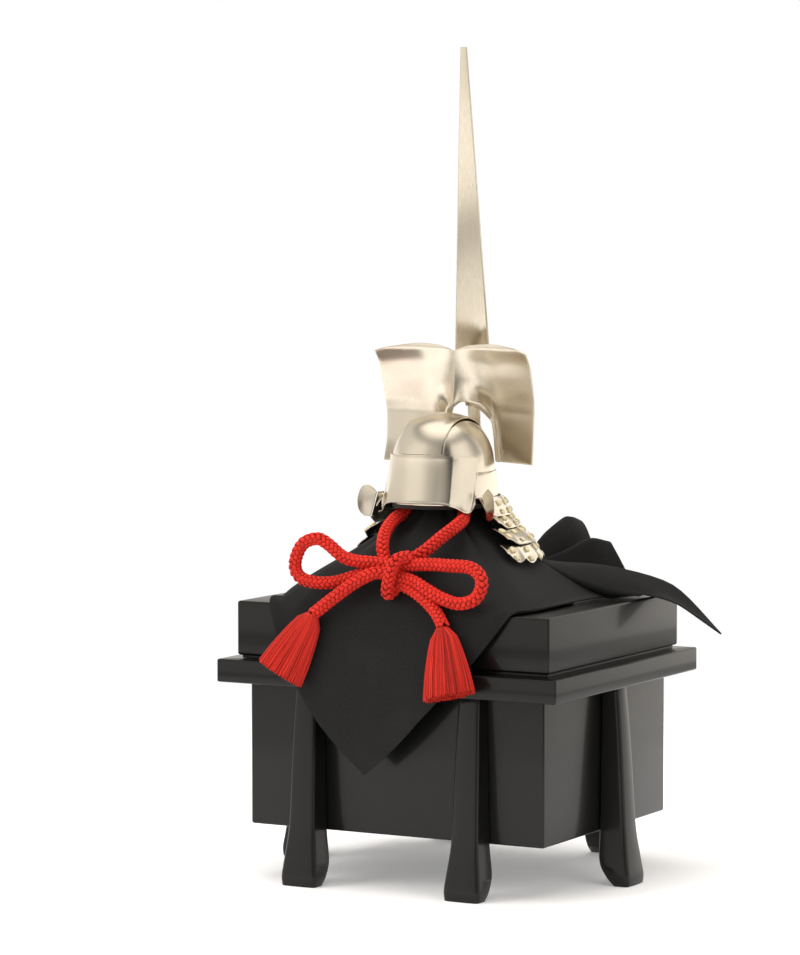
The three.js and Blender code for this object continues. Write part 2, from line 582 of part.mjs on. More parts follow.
// Draped cloth
// Half of the cloth, a row for each fold line from the front corner round the right to the back corner.
// azimuth: direction of the row at the post; each further group is a point of the cloth's underside on
// its way out. Under the helmet x, and y behind the helmet's axis, are shares of the neck guard's radius,
// and from the landing on they are shares of the lid's half width and half depth. Heights over the lid
// are shares of the post's.
const DRAPE = [
  // azimuth, upper slope, lower slope,
  //   landing, midway, hem
  [0, [0, -0.612, 0.363], [0, -0.878, 0.213],
    [0, -1.014, 0.007], [0, -1.115, -0.318], [0, -1.134, -0.908]],
  [24, [0.253, -0.559, 0.363], [0.386, -0.864, 0.205],
    [0.308, -1.014, 0.007], [0.338, -1.115, -0.318], [0.354, -1.132, -0.577]],
  [44, [0.439, -0.452, 0.356], [0.745, -0.811, 0.183],
    [0.585, -1.012, 0.008], [0.608, -1.057, -0.111], [0.623, -1.094, -0.239]],
  [53, [0.532, -0.372, 0.348], [0.904, -0.705, 0.175],
    [0.708, -0.948, 0.029], [0.746, -0.994, 0.011], [0.773, -1.009, 0.007]],
  [66, [0.585, -0.253, 0.348], [0.984, -0.465, 0.183],
    [0.746, -0.693, 0.055], [0.8, -0.702, 0.013], [0.815, -0.693, 0.005]],
  [102, [0.585, 0.12, 0.341], [0.891, 0.306, 0.213],
    [0.662, 0.073, 0.108], [0.762, 0.182, 0.029], [0.815, 0.273, 0.005]],
  [109, [0.559, 0.186, 0.333], [0.864, 0.399, 0.213],
    [0.677, 0.128, 0.123], [0.862, 0.255, 0.047], [1.008, 0.356, 0.029]],
  [116, [0.532, 0.253, 0.333], [0.824, 0.479, 0.213],
    [0.708, 0.246, 0.157], [0.985, 0.419, 0.07], [1.177, 0.52, -0.035]],
  [125, [0.479, 0.359, 0.333], [0.758, 0.598, 0.213],
    [0.754, 0.401, 0.175], [1.092, 0.656, 0.055], [1.323, 0.866, -0.223]],
  [131, [0.452, 0.399, 0.326], [0.718, 0.652, 0.19],
    [0.692, 0.474, 0.108], [1.008, 0.711, 0.04], [1.146, 0.82, -0.05]],
  [137, [0.426, 0.439, 0.318], [0.678, 0.718, 0.175],
    [0.6, 0.51, 0.04], [0.8, 0.693, 0.029], [1.012, 0.82, 0.032]],
  [141, [0.399, 0.479, 0.318], [0.638, 0.758, 0.183],
    [0.538, 0.501, 0.055], [0.677, 0.693, 0.025], [0.777, 0.857, 0.025]],
  [145, [0.372, 0.519, 0.318], [0.612, 0.798, 0.198],
    [0.469, 0.492, 0.236], [0.569, 0.665, 0.296], [0.638, 0.802, 0.273]],
  [149, [0.346, 0.545, 0.311], [0.559, 0.838, 0.183],
    [0.423, 0.547, 0.153], [0.515, 0.72, 0.243], [0.554, 0.857, 0.273]],
  [153, [0.306, 0.572, 0.311], [0.492, 0.891, 0.175],
    [0.369, 0.602, 0.175], [0.438, 0.766, 0.266], [0.469, 0.902, 0.266]],
  [159, [0.239, 0.612, 0.318], [0.399, 0.957, 0.198],
    [0.3, 0.62, 0.333], [0.346, 0.82, 0.409], [0.377, 0.957, 0.378]],
  [167, [0.16, 0.625, 0.311], [0.266, 0.984, 0.168],
    [0.231, 1.015, 0.009], [0.254, 1.054, -0.103], [0.262, 1.116, -0.314]],
  [174, [0.08, 0.638, 0.318], [0.133, 0.997, 0.198],
    [0.115, 1.016, 0.014], [0.131, 1.117, -0.314], [0.131, 1.13, -0.464]],
  [180, [0, 0.638, 0.318], [0, 0.997, 0.183],
    [0, 1.014, 0.008], [0, 1.116, -0.317], [0, 1.134, -0.81]],
];
// the same for the stretch down the post: radius as a share of the post's, height as a share of the way up
const POST_DRAPE = [[1.077, 1], [1.185, 0.977], [1.269, 0.694], [1.538, 0.51]];
const guardRadius = Math.max(...LAMES.map((row) => row[4])) * BOWL_RADIUS;
const FRONT_SWAY = -12; // the hanging front corner swings this far to the left
const SWAY_DROP = 68; // over this much drop

function drapeRow(row, side) {
  const [azimuth, upper, lower, ...beyond] = row;
  const height = (up) => lerp(LID_TOP, CLOTH_TOP, up);
  const points = POST_DRAPE.map(([out, up]) => guard(side * azimuth, out * POST_RADIUS, height(up)));
  for (const [across, back, up] of [upper, lower]) {
    points.push(P(side * across * guardRadius, HELMET_Y + back * guardRadius, height(up)));
  }
  for (const [across, back, up] of beyond) {
    const z = height(up);
    const sway = back < -0.9 ? FRONT_SWAY * smooth((LID_TOP - z) / SWAY_DROP) : 0;
    points.push(P(side * across * lidX + sway, back * lidY, z));
  }
  return points;
}
const drapeRows = [
  ...DRAPE.map((row) => drapeRow(row, 1)),
  ...DRAPE.slice(1, -1).reverse().map((row) => drapeRow(row, -1)),
];
const ACROSS_STEPS = 2; // columns between two rows of the table
const OUT_SAMPLES = [0, 1, 2, 3, 4, 4.5, 5, 5.5, 6, 6.5, 7, 7.5, 8];

function spline(points, t, loop) {
  const n = points.length;
  const i = Math.floor(t);
  const f = t - i;
  const at = (k) => loop ? points[(k + n) % n] : points[Math.min(n - 1, Math.max(0, k))];
  if (f === 0) return at(i).clone();
  const [a, b, c, d] = [at(i - 1), at(i), at(i + 1), at(i + 2)];
  const bend = 0.4;
  const m0 = c.clone().sub(a).multiplyScalar(bend);
  const m1 = d.clone().sub(b).multiplyScalar(bend);
  const [f2, f3] = [f * f, f * f * f];
  return b.clone().multiplyScalar(2 * f3 - 3 * f2 + 1)
    .add(m0.multiplyScalar(f3 - 2 * f2 + f))
    .add(c.clone().multiplyScalar(3 * f2 - 2 * f3))
    .add(m1.multiplyScalar(f3 - f2));
}
// keeps the cloth's underside off a box of half sizes x, y up to top: points inside it are moved out, and
// the last point over the box before the cloth leaves it is drawn out to the box's edge
const CLEAR = 0.7;
const PRESS = 7; // a point this deep or less in the top is lifted
function offBox(column, x, y, top) {
  const inside = (p) => Math.abs(p.x) < x + CLEAR && Math.abs(p.y) < y + CLEAR;
  for (const p of column) {
    if (!inside(p) || p.z >= top + CLEAR) continue;
    const rise = top + CLEAR - p.z;
    const outX = x + CLEAR - Math.abs(p.x);
    const outY = y + CLEAR - Math.abs(p.y);
    if (rise <= Math.max(PRESS, Math.min(outX, outY))) p.z = top + CLEAR;
    else if (outX < outY) p.x = Math.sign(p.x) * (x + CLEAR);
    else p.y = Math.sign(p.y) * (y + CLEAR);
  }
  for (let i = 1; i < column.length - 1; i++) {
    const [a, b] = [column[i], column[i + 1]];
    if (!inside(a) || inside(b)) continue;
    const t = Math.min(
      b.x === a.x ? 1 : Math.max(0, (Math.sign(b.x - a.x) * (x + CLEAR) - a.x) / (b.x - a.x)),
      b.y === a.y ? 1 : Math.max(0, (Math.sign(b.y - a.y) * (y + CLEAR) - a.y) / (b.y - a.y)));
    const edge = a.clone().lerp(b, t);
    if (edge.z < top + CLEAR) a.set(edge.x, edge.y, top + CLEAR);
  }
}
const columns = drapeRows.length * ACROSS_STEPS;
const fine = drapeRows.map((row) => OUT_SAMPLES.map((t) => spline(row, t, false)));
const rings = OUT_SAMPLES.map((_, i) => {
  const ring = fine.map((row) => row[i]);
  return Array.from({ length: columns }, (_, j) => spline(ring, j / ACROSS_STEPS, true));
});
for (let j = 0; j < columns; j++) {
  const column = rings.map((ring) => ring[j]);
  offBox(column, lidX, lidY, LID_TOP);
  offBox(column, rimX, rimY, RIM_TOP);
}
const clothGrid = [Array.from({ length: columns }, () => P(0, HELMET_Y, CLOTH_TOP)), ...rings];
piece("cloth", shell(pushed(clothGrid, CLOTH_THICKNESS, wrap), clothGrid, wrap), CLOTH);

// Chin cord: a loop through the helmet, tied in a bow
const points = (list) => list.map(([x, y, z]) => P(x, y, z));
const CHIN_LOOP = points([
  [-9, -101, 243], [-13, -97, 252.5], [-17.4, -84, 262.5], [-19.6, -66, 270.4], [-19.5, -57, 272.3],
  [-18.8, -50.5, 277], [-22, -43, 283], [-29, -28, 285], [-24, -9, 285], [0, 3, 285], [24, -9, 285],
  [29, -27, 285], [26.5, -37, 282.5], [26.3, -42.5, 275.5], [29.3, -50, 271.7], [33.5, -61, 269.9],
  [33.5, -73, 266], [30, -84, 260.5], [23, -97, 251], [13, -101, 244],
]);
const LEFT_LOOP = points([
  [3, -107, 241], [-12, -107, 241], [-27.5, -108, 241.7], [-39.2, -110, 244.8], [-50.3, -111, 253.1],
  [-58.8, -112, 257.2], [-70, -113, 253.8], [-76.2, -114, 243.4], [-76.6, -114, 233.2],
  [-69.6, -114, 226.8], [-55.9, -113.5, 224.9], [-42, -111, 226.5], [-27, -108, 231.4], [-12, -107, 234],
  [3, -107, 234],
]);
const RIGHT_LOOP = points([
  [2, -107, 240.6], [8.6, -106, 239.8], [28.7, -108, 242], [51.1, -110, 242.1], [67.5, -112, 241.6],
  [76.7, -114, 236], [78.5, -116, 227.4], [73.6, -117.5, 219.2], [61.7, -118.5, 215.8],
  [48.9, -117.6, 218.3], [35, -115.5, 223.7], [20, -111.5, 229.7], [2, -109, 232],
]);
const LEFT_TAIL = points([
  [3, -111, 233], [-9, -113, 234.4], [-22.4, -117, 228.4], [-35.6, -121, 218.8], [-46.7, -122.4, 210.4],
  [-54, -123.4, 204.6],
]);
const RIGHT_TAIL = points([
  [3, -108, 229], [10, -109.5, 226.6], [20.5, -112.3, 223], [32.8, -116.2, 216.8], [43.4, -119.6, 209],
  [50.7, -123.4, 201],
]);
const KNOT_WRAP = points([
  [14.5, -109, 246.7], [10, -115, 245.5], [7, -119, 239.5], [5.5, -120, 232.5], [4, -120, 226],
  [2.6, -118, 221.2], [2.4, -113.8, 220],
]);
const cordRadius = CORD_DIAMETER / 2;
const CHIN_STEPS = 36;
piece("chin_cord", tube(CHIN_LOOP, cordRadius, CHIN_STEPS), CORD);
const bow = [[LEFT_LOOP, 26], [RIGHT_LOOP, 24], [LEFT_TAIL, 7], [RIGHT_TAIL, 6], [KNOT_WRAP, 7]]
  .map(([route, steps]) => solid(tube(route, cordRadius, steps)));
const chinRoom = solid(tube(CHIN_LOOP, cordRadius + GAP, CHIN_STEPS));
piece("bow_cord", geometryOf(bow.reduce((a, b) => a.add(b)).subtract(chinRoom)), CORD);

// tassels: a head that spreads into locks
const TASSELS = [
  // side, neck, middle of the fringe's lower end, half width there, half depth there
  ["left", P(-56, -124, 202.4), P(-79, -134.5, 158), 20.5, 9],
  ["right", P(51.8, -124.2, 198), P(63.5, -136, 149.5), 22, 10],
];
const TASSEL_SECTIONS = [[0, 0.3], [0.07, 0.44], [0.2, 0.54], [0.42, 0.7], [0.7, 0.88], [1, 1]];
for (const [side, neck, end, halfWidth, halfDepth] of TASSELS) {
  const axis = end.clone().sub(neck);
  const outDir = P(0, -1, 0);
  const wide = axis.clone().cross(outDir).normalize();
  const deep = wide.clone().cross(axis).normalize();
  const n = TASSEL_LOCKS * 2;
  const rings = TASSEL_SECTIONS.map(([t, spread]) => Array.from({ length: n }, (_, j) => {
    const a = (j / n) * TURN;
    const lock = j % 2 ? 1 : lerp(1, 0.86, t);
    const depth = Math.max(halfDepth * spread, lerp(5.4, 0, t * 2));
    return neck.clone().addScaledVector(axis, t)
      .addScaledVector(wide, Math.cos(a) * halfWidth * spread * lock)
      .addScaledVector(deep, Math.sin(a) * depth * lock);
  }));
  piece(`tassel_${side}`, loft(rings), CORD);
}

export default group;
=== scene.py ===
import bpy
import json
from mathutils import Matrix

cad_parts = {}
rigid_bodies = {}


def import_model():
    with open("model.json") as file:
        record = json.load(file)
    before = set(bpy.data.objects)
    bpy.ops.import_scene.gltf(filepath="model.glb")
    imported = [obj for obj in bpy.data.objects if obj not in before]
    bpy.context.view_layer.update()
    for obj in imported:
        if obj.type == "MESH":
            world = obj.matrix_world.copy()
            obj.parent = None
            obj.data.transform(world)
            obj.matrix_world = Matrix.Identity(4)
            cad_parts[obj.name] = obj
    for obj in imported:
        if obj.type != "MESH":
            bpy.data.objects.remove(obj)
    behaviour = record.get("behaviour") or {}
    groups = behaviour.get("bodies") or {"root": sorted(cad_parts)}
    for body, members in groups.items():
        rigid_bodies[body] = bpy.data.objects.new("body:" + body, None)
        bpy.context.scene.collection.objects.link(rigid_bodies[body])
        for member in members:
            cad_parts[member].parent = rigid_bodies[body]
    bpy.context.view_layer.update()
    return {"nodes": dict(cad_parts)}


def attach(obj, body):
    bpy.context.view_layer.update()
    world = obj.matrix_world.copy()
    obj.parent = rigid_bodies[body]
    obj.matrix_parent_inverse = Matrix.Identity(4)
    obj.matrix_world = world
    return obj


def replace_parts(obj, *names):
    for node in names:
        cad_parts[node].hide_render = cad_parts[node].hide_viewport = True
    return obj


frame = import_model()

import json
import math

import bpy
import numpy as np
from bpy.props import FloatProperty, FloatVectorProperty, IntProperty, PointerProperty
from mathutils import Vector

bl_info = {
    "name": "Display helmet",
    "version": (1, 0, 0),
    "blender": (4, 5, 0),
    "location": "3D View > Sidebar > Display helmet",
    "description": "Builds a small samurai helmet on its lacquered box",
    "category": "Add Mesh",
}

# Lengths in the tables are millimetres. The front faces -Y, +Z is up, and the floor is at 0.
MM = 0.001
TURN = 2 * math.pi
GAP = 0.3  # play between pieces that touch

BOX_X, BOX_Y = 130.0, 109.7  # half sizes of the lid
LID_TOP, LID_BOTTOM = 207.7, 167.1
RIM_TOP, RIM_BOTTOM, RIM_OUT = 164.6, 147.3, 11.2  # the last is out from the lid's sides
BODY_IN, BODY_BOTTOM = 7.4, 39.7  # the first is in from the lid's sides
LEG_SPREAD = 68.0  # from the middle to the middle of a corner's leg

HELMET_Y = -27.0
BOWL_TOP, BOWL_BOTTOM, BOWL_WALL = 346.2, 281.0, 1.2
BOWL_WIDE, BOWL_LONG = 0.984, 1.05  # times the mean radius, across and from front to back
PLATE = 0.9  # thickness of the plates
SPIKE_TOP, SHOULDER = 620.0, 358.0
CLOTH_TOP = 340.6
SHARP = 35  # degrees over which an edge is shaded sharp


# Sizes and colours that can be changed before the pieces are built


class HelmetSizes(bpy.types.PropertyGroup):
    plate_edge: FloatProperty(
        name="Plate edge", description="Rounding of the sheet metal's edges",
        default=0.25 * MM, min=0, unit="LENGTH")
    scallops: IntProperty(
        name="Scallops", description="Lobes along the lowest neck plate", default=15, min=6)
    knot_length: FloatProperty(
        name="Knot length", description="Length of a lacing knot", default=5.4 * MM, unit="LENGTH")
    knot_width: FloatProperty(
        name="Knot width", description="Width of one strand of a lacing knot",
        default=2.7 * MM, unit="LENGTH")
    metal: FloatVectorProperty(
        name="Metal", description="Colour of the plated sheet metal", subtype="COLOR",
        default=(0.75, 0.685, 0.575))
    lace: FloatVectorProperty(
        name="Lacing", description="Colour of the lacing", subtype="COLOR",
        default=(0.80, 0.70, 0.47))


class CordSizes(bpy.types.PropertyGroup):
    diameter: FloatProperty(
        name="Diameter", description="Diameter of the braided cord", default=10 * MM, unit="LENGTH")
    stitch_pitch: FloatProperty(
        name="Stitch pitch", description="Distance from one stitch to the next along the cord",
        default=3.9 * MM, unit="LENGTH")
    stitch_rows: IntProperty(
        name="Stitch rows", description="Rows of stitches round the cord", default=8, min=4)
    fringe_strands: IntProperty(
        name="Fringe strands", description="Strands in each tassel", default=1700, min=50)
    red: FloatVectorProperty(
        name="Cord", description="Colour of the cord and the tassels", subtype="COLOR",
        default=(0.62, 0.027, 0.016))


class BoxSizes(bpy.types.PropertyGroup):
    edge_round: FloatProperty(
        name="Edge", description="Rounding of the box's edges", default=1.6 * MM, unit="LENGTH")
    lacquer: FloatVectorProperty(
        name="Lacquer", description="Colour of the lacquer", subtype="COLOR",
        default=(0.0045, 0.0044, 0.0043))


class ClothSizes(bpy.types.PropertyGroup):
    side: FloatProperty(
        name="Side", description="Side of the square that the cloth is cut to",
        default=0.33, unit="LENGTH")
    crease_depth: FloatProperty(
        name="Creases", description="Depth of the small creases", default=0.7 * MM, unit="LENGTH")
    black: FloatVectorProperty(
        name="Cloth", description="Colour of the cloth", subtype="COLOR",
        default=(0.0105, 0.0105, 0.011))


class StudioSettings(bpy.types.PropertyGroup):
    key: FloatProperty(name="Key light", description="Strength of the key light", default=30.0)
    fill: FloatProperty(name="Fill light", description="Strength of the fill light", default=12.0)
    floor: FloatVectorProperty(
        name="Floor", description="Colour of the floor", subtype="COLOR", default=(0.86, 0.86, 0.865))


class HelmetSettings(bpy.types.PropertyGroup):
    helmet: PointerProperty(type=HelmetSizes)
    cord: PointerProperty(type=CordSizes)
    box: PointerProperty(type=BoxSizes)
    cloth: PointerProperty(type=ClothSizes)
    studio: PointerProperty(type=StudioSettings)


# Lines and tables


def through(points, steps, loop=False, bend=0.5, before=None, after=None):
    """A smooth line through points, with the given steps to each span."""
    p = np.asarray(points, float)
    if loop:
        row = np.concatenate([p[-1:], p, p[:2]])
        spans = len(p)
    else:
        first = 2 * p[:1] - p[1:2] if before is None else np.asarray([before], float)
        last = 2 * p[-1:] - p[-2:-1] if after is None else np.asarray([after], float)
        row = np.concatenate([first, p, last])
        spans = len(p) - 1
    t = (np.arange(steps) / steps).reshape((-1,) + (1,) * (p.ndim - 1))
    t2, t3 = t * t, t * t * t
    out = []
    for i in range(spans):
        a, b, c, d = row[i:i + 4]
        out.append((2 * t3 - 3 * t2 + 1) * b + (t3 - 2 * t2 + t) * (c - a) * bend
                   + (3 * t2 - 2 * t3) * c + (t3 - t2) * (d - b) * bend)
    if not loop:
        out.append(p[-1:])
    return np.concatenate(out)


class Smooth:
    """A smooth function through [x, y] rows that never overshoots them."""

    def __init__(self, rows, column=1):
        rows = sorted(rows, key=lambda r: r[0])
        self.x = np.array([r[0] for r in rows], float)
        self.y = np.array([r[column] for r in rows], float)
        self.h = np.diff(self.x)
        slope = np.diff(self.y) / self.h
        m = np.empty_like(self.y)
        m[0], m[-1] = slope[0], slope[-1]
        same = slope[:-1] * slope[1:] > 0
        total = np.where(same, slope[:-1] + slope[1:], 1)
        m[1:-1] = np.where(same, 2 * slope[:-1] * slope[1:] / total, 0)
        self.m = m

    def __call__(self, v):
        v = np.clip(v, self.x[0], self.x[-1])
        i = np.clip(np.searchsorted(self.x, v, side="right") - 1, 0, len(self.h) - 1)
        h = self.h[i]
        t = (v - self.x[i]) / h
        t2, t3 = t * t, t * t * t
        return ((2 * t3 - 3 * t2 + 1) * self.y[i] + (t3 - 2 * t2 + t) * h * self.m[i]
                + (3 * t2 - 2 * t3) * self.y[i + 1] + (t3 - t2) * h * self.m[i + 1])


def ease(t):
    """0 up to t = 0, 1 from t = 1, smooth between."""
    t = np.clip(t, 0, 1)
    return t * t * (3 - 2 * t)


def spaced(line, step):
    """The line's points at even steps along its length."""
    line = np.asarray(line, float)
    run = np.concatenate([[0], np.cumsum(np.linalg.norm(np.diff(line, axis=0), axis=1))])
    n = max(2, int(round(run[-1] / step)) + 1)
    at = np.linspace(0, run[-1], n)
    return np.stack([np.interp(at, run, line[:, k]) for k in range(3)], axis=1)


# Meshes


def make(name, points, faces, materials, slot, index=None, uv=None, sharp=SHARP):
    """A piece with its place in its mesh, from points in millimetres."""
    mesh = bpy.data.meshes.new(name)
    mesh.from_pydata((np.asarray(points, float) * MM).tolist(), [], faces)
    obj = linked(name, mesh)
    for material in materials:
        mesh.materials.append(material)
    if index is not None:
        mesh.polygons.foreach_set("material_index", index)
    if uv is not None:
        layer = mesh.uv_layers.new(name="flat")
        loops = np.empty(len(mesh.loops), int)
        mesh.loops.foreach_get("vertex_index", loops)
        layer.data.foreach_set("uv", np.asarray(uv, float)[loops].ravel())
    finish_mesh(mesh, sharp)
    ride(obj)
    return obj


def linked(name, data):
    """A new object in the scene."""
    obj = bpy.data.objects.new(name, data)
    bpy.context.scene.collection.objects.link(obj)
    return obj


def finish_mesh(mesh, sharp):
    mesh.validate()
    mesh.polygons.foreach_set("use_smooth", [True] * len(mesh.polygons))
    mesh.set_sharp_from_angle(angle=math.radians(sharp))
    mesh.update()


def ride(obj):
    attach(obj, "root")


def volume(points, faces):
    """Six times the volume, under 0 where the faces look inward."""
    p = np.asarray(points)
    total = 0.0
    for f in faces:
        for k in range(1, len(f) - 1):
            total += np.dot(p[f[0]], np.cross(p[f[k]], p[f[k + 1]]))
    return total


def outward(points, faces):
    return faces if volume(points, faces) > 0 else [f[::-1] for f in faces]


def wall(outer, inner, around=False, pole=False):
    """Points and faces of a thin wall between two grids, and which faces are its inner side."""
    rows, cols = outer.shape[:2]
    half = rows * cols
    points = np.concatenate([outer.reshape(-1, 3), inner.reshape(-1, 3)])
    at = lambda side, i, j: side * half + (0 if pole and i == 0 else i * cols + j % cols)
    faces, inside = [], []

    def add(*corners, inner_side=0):
        kept = [c for k, c in enumerate(corners) if c != corners[k - 1]]
        if len(kept) > 2:
            faces.append(kept)
            inside.append(inner_side)

    spans = cols if around else cols - 1
    for i in range(rows - 1):
        for j in range(spans):
            add(at(0, i, j), at(0, i, j + 1), at(0, i + 1, j + 1), at(0, i + 1, j))
            add(at(1, i, j), at(1, i + 1, j), at(1, i + 1, j + 1), at(1, i, j + 1), inner_side=1)
    last = rows - 1
    for j in range(spans):
        if not pole:
            add(at(0, 0, j + 1), at(0, 0, j), at(1, 0, j), at(1, 0, j + 1))
        add(at(0, last, j), at(0, last, j + 1), at(1, last, j + 1), at(1, last, j))
    if not around:
        for i in range(last):
            add(at(0, i, 0), at(0, i + 1, 0), at(1, i + 1, 0), at(1, i, 0))
            add(at(0, i + 1, cols - 1), at(0, i, cols - 1), at(1, i, cols - 1), at(1, i + 1, cols - 1))
    used = np.zeros(len(points), bool)
    used[[c for f in faces for c in f]] = True
    new = np.cumsum(used) - 1
    faces = [[int(new[c]) for c in f] for f in faces]
    points = points[used]
    return points, outward(points, faces), inside, used


def pushed(grid, distance, around=False, pole=False):
    """A grid moved out along its own normals: rows run down, columns with the azimuth."""
    g = np.asarray(grid, float)
    if around:
        across = np.roll(g, -1, axis=1) - np.roll(g, 1, axis=1)
    else:
        across = np.concatenate([g[:, 1:2] - g[:, :1], g[:, 2:] - g[:, :-2], g[:, -1:] - g[:, -2:-1]], axis=1)
    down = np.concatenate([g[1:2] - g[:1], g[2:] - g[:-2], g[-1:] - g[-2:-1]])
    normal = np.cross(down, across)
    normal /= np.maximum(np.linalg.norm(normal, axis=2, keepdims=True), 1e-9)
    if pole:
        normal[0] = (0, 0, 1)
    return g + normal * distance


def thickened(grid, depth, around=False):
    """Points and faces of a wall between a grid and the same grid moved out by the depth."""
    return wall(grid, pushed(grid, depth, around), around)[:2]


def loft(rings, closed=False):
    """Points and faces of a solid through rings of points."""
    rings = np.asarray(rings, float)
    count, n = rings.shape[:2]
    points = rings.reshape(-1, 3)
    faces = []
    for i in range(count if closed else count - 1):
        a, b = i * n, ((i + 1) % count) * n
        for j in range(n):
            k = (j + 1) % n
            faces.append([a + j, a + k, b + k, b + j])
    if not closed:
        faces.append(list(range(n))[::-1])
        faces.append([(count - 1) * n + j for j in range(n)])
    return points, outward(points, faces)


def joined(*parts):
    """Points and faces of several parts as one."""
    points, faces = [], []
    for some, their in parts:
        start = sum(len(p) for p in points)
        points.append(np.asarray(some, float))
        faces += [[c + start for c in f] for f in their]
    return np.concatenate(points), faces


def rounded(obj, width, angle=40):
    """Rounds the piece's edges that are sharper than the angle."""
    bevel = obj.modifiers.new("edges", "BEVEL")
    bevel.width, bevel.segments = width, 2
    bevel.limit_method, bevel.angle_limit = "ANGLE", math.radians(angle)
    bevel.harden_normals = False
    finish_mesh(applied(obj), SHARP)
    return obj


def applied(obj):
    """Puts the mesh that the object's modifiers make in the place of its own."""
    graph = bpy.context.evaluated_depsgraph_get()
    graph.update()
    mesh = bpy.data.meshes.new_from_object(obj.evaluated_get(graph))
    obj.modifiers.clear()
    old = obj.data
    obj.data = mesh
    mesh.name = obj.name
    bpy.data.meshes.remove(old)
    return mesh


def repaint(node, name):
    """Gives a solid that the scene keeps another finish."""
    for place in frame["nodes"][node].material_slots:
        place.material = finish(name)


# Geometry Nodes

STITCH_AT, CORE = 0.72, 0.74  # radius of the stitches' middles and of the core, of the cord's radius


class Tree:
    """A Geometry Nodes tree under construction."""

    def __init__(self, name, inputs):
        self.tree = bpy.data.node_groups.new(name, "GeometryNodeTree")
        face = self.tree.interface
        face.new_socket("Geometry", in_out="INPUT", socket_type="NodeSocketGeometry")
        self.ids = {}
        for label, kind, default in inputs:
            socket = face.new_socket(label, in_out="INPUT", socket_type="NodeSocket" + kind)
            if default is not None:
                socket.default_value = default
            self.ids[label] = socket.identifier
        face.new_socket("Geometry", in_out="OUTPUT", socket_type="NodeSocketGeometry")
        self.inputs = self.tree.nodes.new("NodeGroupInput").outputs
        self.result = self.tree.nodes.new("NodeGroupOutput").inputs[0]

    def node(self, kind, settings=None, out=0, **values):
        node = self.tree.nodes.new(kind)
        for key, value in (settings or {}).items():
            setattr(node, key, value)
        for key, value in values.items():
            name = key.replace("_", " ")
            socket = next(s for s in node.inputs if s.name == name and s.enabled)
            self.put(socket, value)
        return node if out is None else node.outputs[out]

    def put(self, socket, value):
        if isinstance(value, bpy.types.NodeSocket):
            self.tree.links.new(value, socket)
        else:
            socket.default_value = value

    def maths(self, operation, *values, vector=False):
        node = self.tree.nodes.new("ShaderNodeVectorMath" if vector else "ShaderNodeMath")
        node.operation = operation
        for value, socket in zip(values, node.inputs):
            self.put(socket, value)
        return node.outputs[0]

    def scaled(self, vector, factor):
        node = self.tree.nodes.new("ShaderNodeVectorMath")
        node.operation = "SCALE"
        self.put(node.inputs[0], vector)
        self.put(node.inputs["Scale"], factor)
        return node.outputs[0]

    def join(self, *parts):
        node = self.tree.nodes.new("GeometryNodeJoinGeometry")
        for part in reversed(parts):
            self.tree.links.new(part, node.inputs[0])
        return node.outputs[0]

    def finish(self, geometry, material):
        whole = self.node("GeometryNodeRealizeInstances", Geometry=geometry)
        smooth = self.node("GeometryNodeSetShadeSmooth", Geometry=whole, Shade_Smooth=True)
        last = self.node("GeometryNodeSetMaterial", Geometry=smooth, Material=material)
        self.tree.links.new(last, self.result)
        return self


